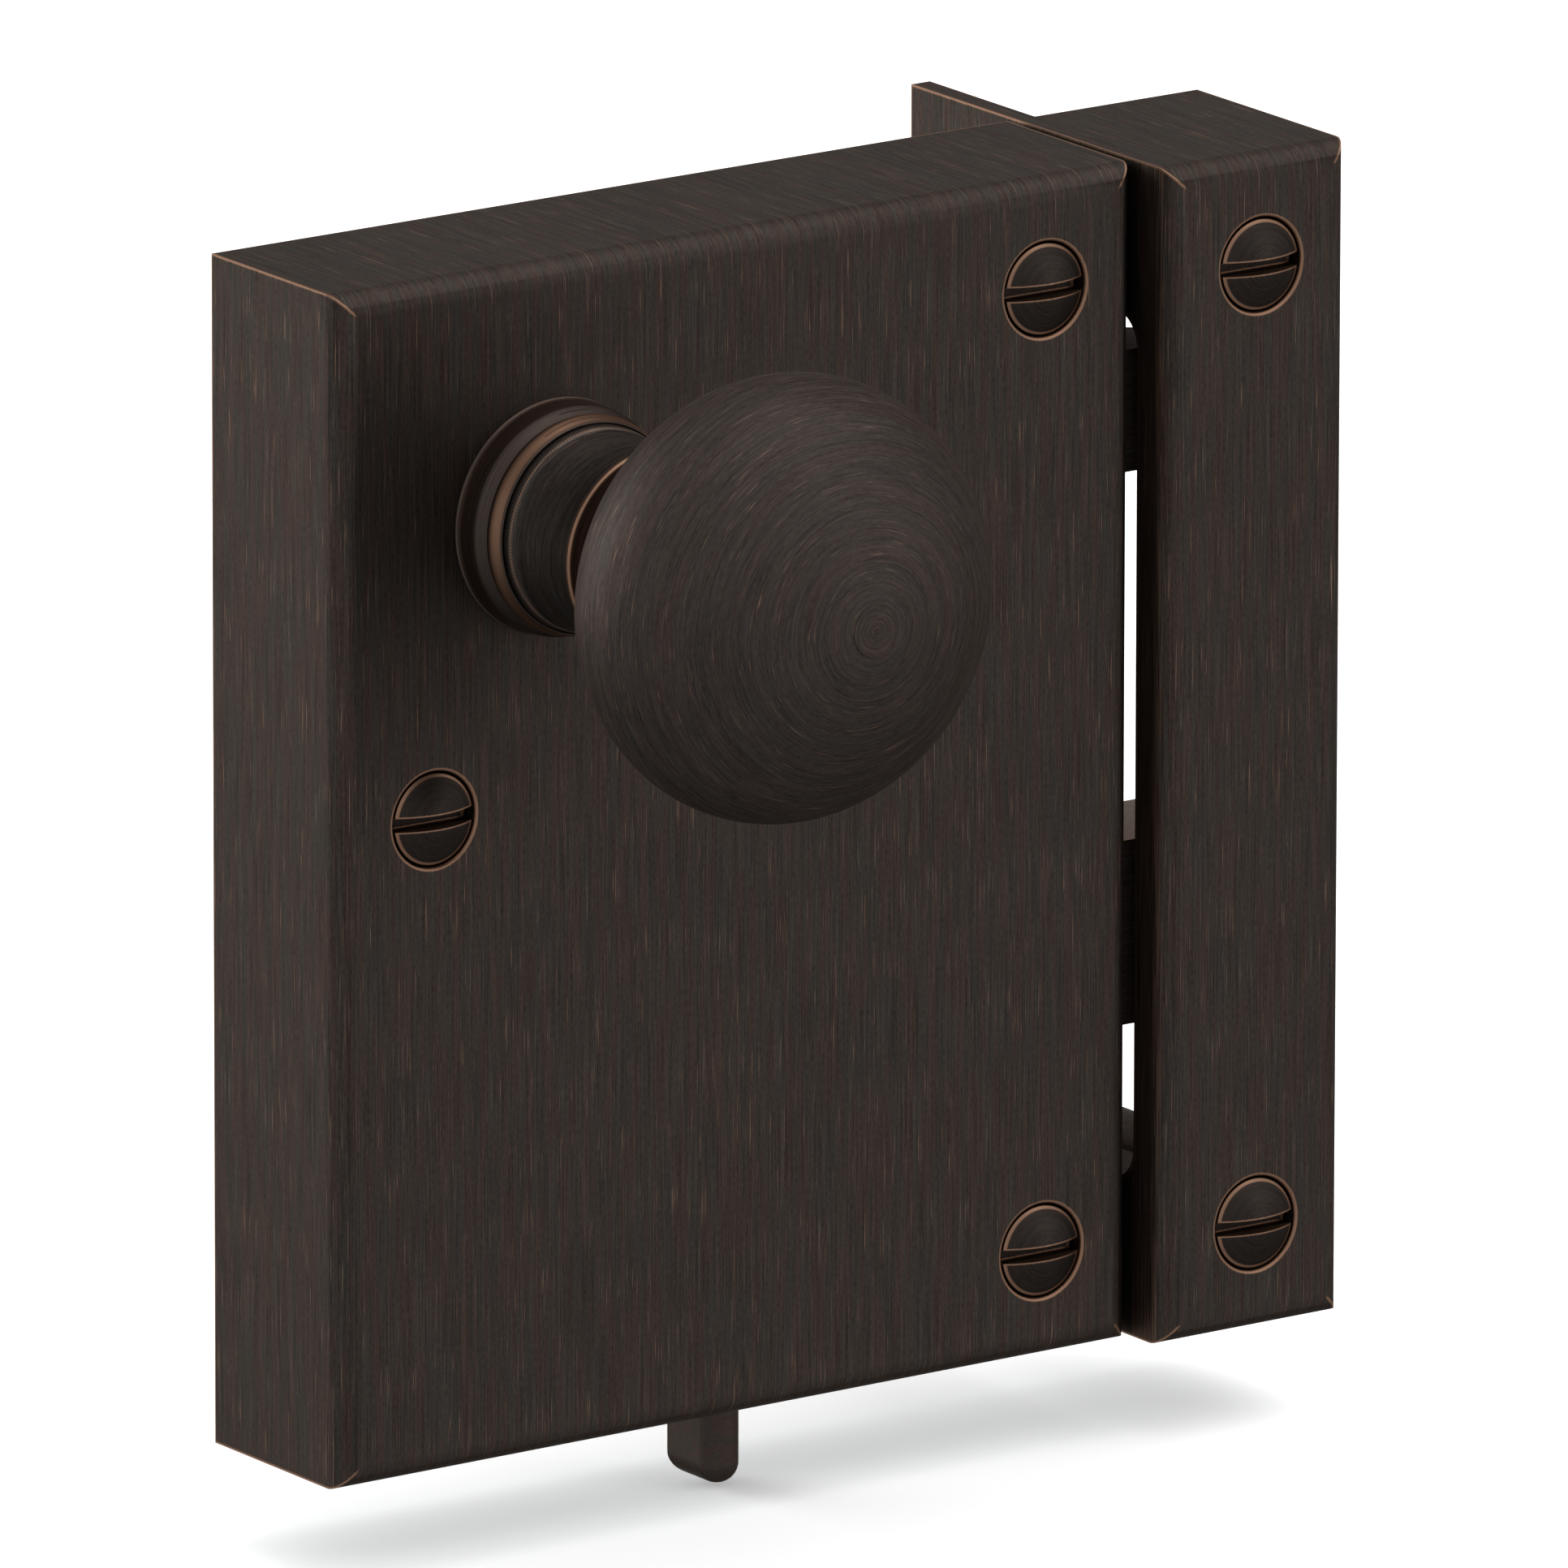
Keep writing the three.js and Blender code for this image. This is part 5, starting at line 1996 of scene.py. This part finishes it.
@dataclass(frozen=True)
class Fastenings:
    """Every screw of the lock and the keeper."""

    domed: DomedScrew = DomedScrew()
    jamb: FlatScrew = FlatScrew(3.85, 1.95, 18, 1.0, 0.8, Shank(1.9, 1.4))
    plate: FlatScrew = FlatScrew(2.6, 1.3, 8, 0.7, 0.6, Shank(1.35, 1.4), sunk=0.0)

    def build(self) -> list[bpy.types.Object]:
        """Builds the screws.

        Returns:
            The finished pieces.
        """
        made = []
        for part, seat, places in (
            ("case", "lock_case", ("top", "left", "bottom")),
            ("keeper", "keeper", ENDS),
        ):
            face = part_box(seat)[0].y
            for place in places:
                node, name = f"{part}_screw_{place}", f"domed_screw_{part}_{place}"
                made.append(self.domed.build(node, name, face))
        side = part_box("keeper")[0].x
        bronze = FLAT_SCREW_BRONZE.material("flat_screw_bronze", Lay.ALONG_Z, SetWearAndPaintedLight())
        for end in ENDS:
            node, name = f"flange_screw_{end}", f"jamb_screw_{end}"
            middle = centre_of(node)
            at = Vector((side, middle.y, middle.z))
            made.append(self.jamb.build(node, name, at, Axis.LEFT, bronze, "bronze_screw"))
        steel = SCREW_STEEL.material("back_screw_steel", Lay.ALONG_X)
        for index in (1, 2, 3):
            node, name = f"back_screw_{index}", f"plate_screw_{index}"
            at = centre_of(node)
            at.y = 0
            made.append(self.plate.build(node, name, at, Axis.BACK, steel, "plate_steel"))
        return made


@dataclass(frozen=True)
class Works:
    """The pieces inside the case, which keep their CAD shapes."""

    plate: tuple[str, ...] = (
        "spring_stop",
        "latch_stud",
        "bolt_stud",
        "spring_block",
        "leaf_screw",
        "toggle_pin",
        "knob_set_screw",
        "liner_screw_top",
        "liner_screw_bottom",
    )
    round_bars: tuple[str, ...] = ("spindle", "hub")
    springs: tuple[str, ...] = ("latch_spring", "friction_leaf")

    def dress_all(self) -> None:
        """Gives each CAD node its finish."""
        for names, steel, finish, lay in (
            (self.plate, Steel(), "plate_steel_finish", Lay.ALONG_X),
            (self.round_bars, CAST_STEEL, "cast_steel_finish", Lay.ALONG_Z),
            (self.springs, SPRING_STEEL, "spring_steel_finish", Lay.ALONG_X),
        ):
            material = steel.material(finish, lay)
            for name in names:
                dress(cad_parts[name], material)
                LOG.info("%s dressed in %s", name, finish)


# ---------------------------------------------------------------------------
# Studio
# ---------------------------------------------------------------------------


@dataclass(frozen=True)
class Softbox:
    """A square area light aimed at the lock, in metres and watts."""

    name: str
    at: tuple[float, float, float]
    size: float
    power: float
    tint: Colour = (1.0, 1.0, 1.0)

    def build(self) -> bpy.types.Object:
        """Makes the light.

        Returns:
            The light object.
        """
        data = bpy.data.lights.new(self.name, "AREA")
        data.shape = "SQUARE"
        data.size = self.size
        data.energy = self.power
        data.color = self.tint
        made = bpy.data.objects.new(self.name, data)
        bpy.context.scene.collection.objects.link(made)
        made.location = self.at
        made.rotation_mode = "QUATERNION"
        made.rotation_quaternion = Vector(self.at).to_track_quat("Z", "Y")
        return made


@dataclass(frozen=True)
class Studio:
    """Camera, floor, surroundings and lights, in metres and degrees.

    Args:
        azimuth: Turn of the view about the upright axis.
        elevation: How far the camera looks down.
        roll: Turn of the camera about its own line of sight.
        distance: From the camera to its target.
        target: The point that the camera turns about.
        aside: How far the camera stands to its right of the target.
        above: How far it stands above the target.
        lens: Its focal length in millimetres.
        sensor: Its sensor's width in millimetres.
        floor_size: Width of the floor.
        floor_gap: How far the floor lies under the object.
        floor_dark: The floor's darker colour.
        floor_pale: Its paler colour.
        floor_cells: Cells of its pattern in a metre.
        floor_glow: How strongly it glows.
        surround_low: Brightness of the surroundings below.
        surround_high: Their brightness above.
        surround_rise: Heights between which they brighten, from -1 straight down to 1.
        boxes: The lights.
    """

    azimuth: float = -35.102
    elevation: float = 15.022
    roll: float = 0.1
    distance: float = 3.01138
    target: tuple[float, float, float] = (0.02479, -0.014478, 0.0)
    aside: float = -0.011674
    above: float = -0.001023
    lens: float = 699.2
    sensor: float = 36.0
    floor_size: float = 14.0
    floor_gap: float = 0.0002
    floor_dark: Colour = (0.9, 0.9, 0.9)
    floor_pale: Colour = (0.93, 0.93, 0.93)
    floor_cells: float = 3.0
    floor_glow: float = 0.2
    surround_low: float = 0.52
    surround_high: float = 1.0
    surround_rise: Point2 = (-0.9, 0.15)
    boxes: tuple[Softbox, ...] = (
        Softbox("overhead_softbox", (0.5, -0.35, 1.6), 1.9, 15.0),
        Softbox("left_softbox", (-1.15, 2.1, 0.35), 1.5, 57.0, (0.94, 0.98, 1.0)),
        Softbox("right_softbox", (1.25, -1.75, 0.45), 0.8, 6.0),
    )

    def build(self) -> None:
        """Sets up everything around the object."""
        self.camera()
        self.floor()
        self.world()
        for softbox in self.boxes:
            softbox.build()
        bpy.context.scene.view_settings.view_transform = "Standard"

    def camera(self) -> None:
        """Places the camera at the object's viewing angle."""
        turn, tilt, roll = (math.radians(v) for v in (self.azimuth, self.elevation, self.roll))
        level = Vector((math.cos(turn), math.sin(turn), 0))
        flat = math.cos(tilt)
        back = Vector((math.sin(turn) * flat, -math.cos(turn) * flat, math.sin(tilt)))
        upright = back.cross(level)
        right = level * math.cos(roll) + upright * math.sin(roll)
        up = upright * math.cos(roll) - level * math.sin(roll)
        aim = Vector(self.target) + right * self.aside + up * self.above
        data = bpy.data.cameras.new("view_camera")
        data.lens = self.lens
        data.sensor_width = self.sensor
        made = bpy.data.objects.new("view_camera", data)
        bpy.context.scene.collection.objects.link(made)
        facing = Matrix((right, up, back)).transposed()
        made.matrix_world = Matrix.Translation(aim + back * self.distance) @ facing.to_4x4()
        bpy.context.scene.camera = made

    def floor(self) -> None:
        """Makes the pale floor just under the object."""
        lowest = CAD_BOX[0].z - self.floor_gap
        mesh = bmesh.new()
        bmesh.ops.create_grid(mesh, x_segments=4, y_segments=4, size=self.floor_size / 2)
        made = to_object("floor", mesh, Vector((0, 0, lowest)))
        material, graph = new_material("pale_floor")
        cloud = graph.node("ShaderNodeTexNoise")
        graph.put(cloud.inputs["Scale"], self.floor_cells)
        shader = graph.node("ShaderNodeBsdfPrincipled")
        colour = graph.blend(cloud.outputs["Fac"], self.floor_dark, self.floor_pale)
        graph.put(shader.inputs["Base Color"], colour)
        graph.put(shader.inputs["Roughness"], 0.9)
        graph.put(shader.inputs["Specular IOR Level"], 0.1)
        graph.put(shader.inputs["Emission Color"], (1.0, 1.0, 1.0))
        graph.put(shader.inputs["Emission Strength"], self.floor_glow)
        output = graph.node("ShaderNodeOutputMaterial")
        graph.put(output.inputs["Surface"], shader.outputs[0])
        dress(made, material)
        made.visible_glossy = False

    def world(self) -> None:
        """Makes the plain pale surroundings, which darken downwards."""
        world = bpy.data.worlds.new("studio")
        world.use_nodes = True
        graph = Graph(world.node_tree)
        ground = graph.node("ShaderNodeBackground")
        graph.put(ground.inputs["Color"], (1.0, 1.0, 1.0))
        parts = graph.node("ShaderNodeSeparateXYZ")
        graph.put(parts.inputs[0], graph.node("ShaderNodeTexCoord").outputs["Generated"])
        rise = self.surround_high - self.surround_low
        climb = graph.times(graph.fade(parts.outputs[2], *self.surround_rise), rise)
        graph.put(ground.inputs["Strength"], graph.plus(climb, self.surround_low))
        output = graph.node("ShaderNodeOutputWorld")
        graph.put(output.inputs["Surface"], ground.outputs[0])
        bpy.context.scene.world = world


def main() -> None:
    """Builds the lock, its finishes and the studio, in order."""
    logging.basicConfig(level=logging.INFO, format="%(name)s: %(message)s")
    Studio().build()
    case = LockCase()
    case.build()
    case.build_back()
    keeper = Keeper()
    keeper.build()
    keeper.build_liner()
    KnobSet().build()
    LatchBolt().build()
    dead_bolt = DeadBolt()
    dead_bolt.build()
    dead_bolt.build_toggle()
    Fastenings().build()
    Works().dress_all()


if __name__ == "__main__":
    main()
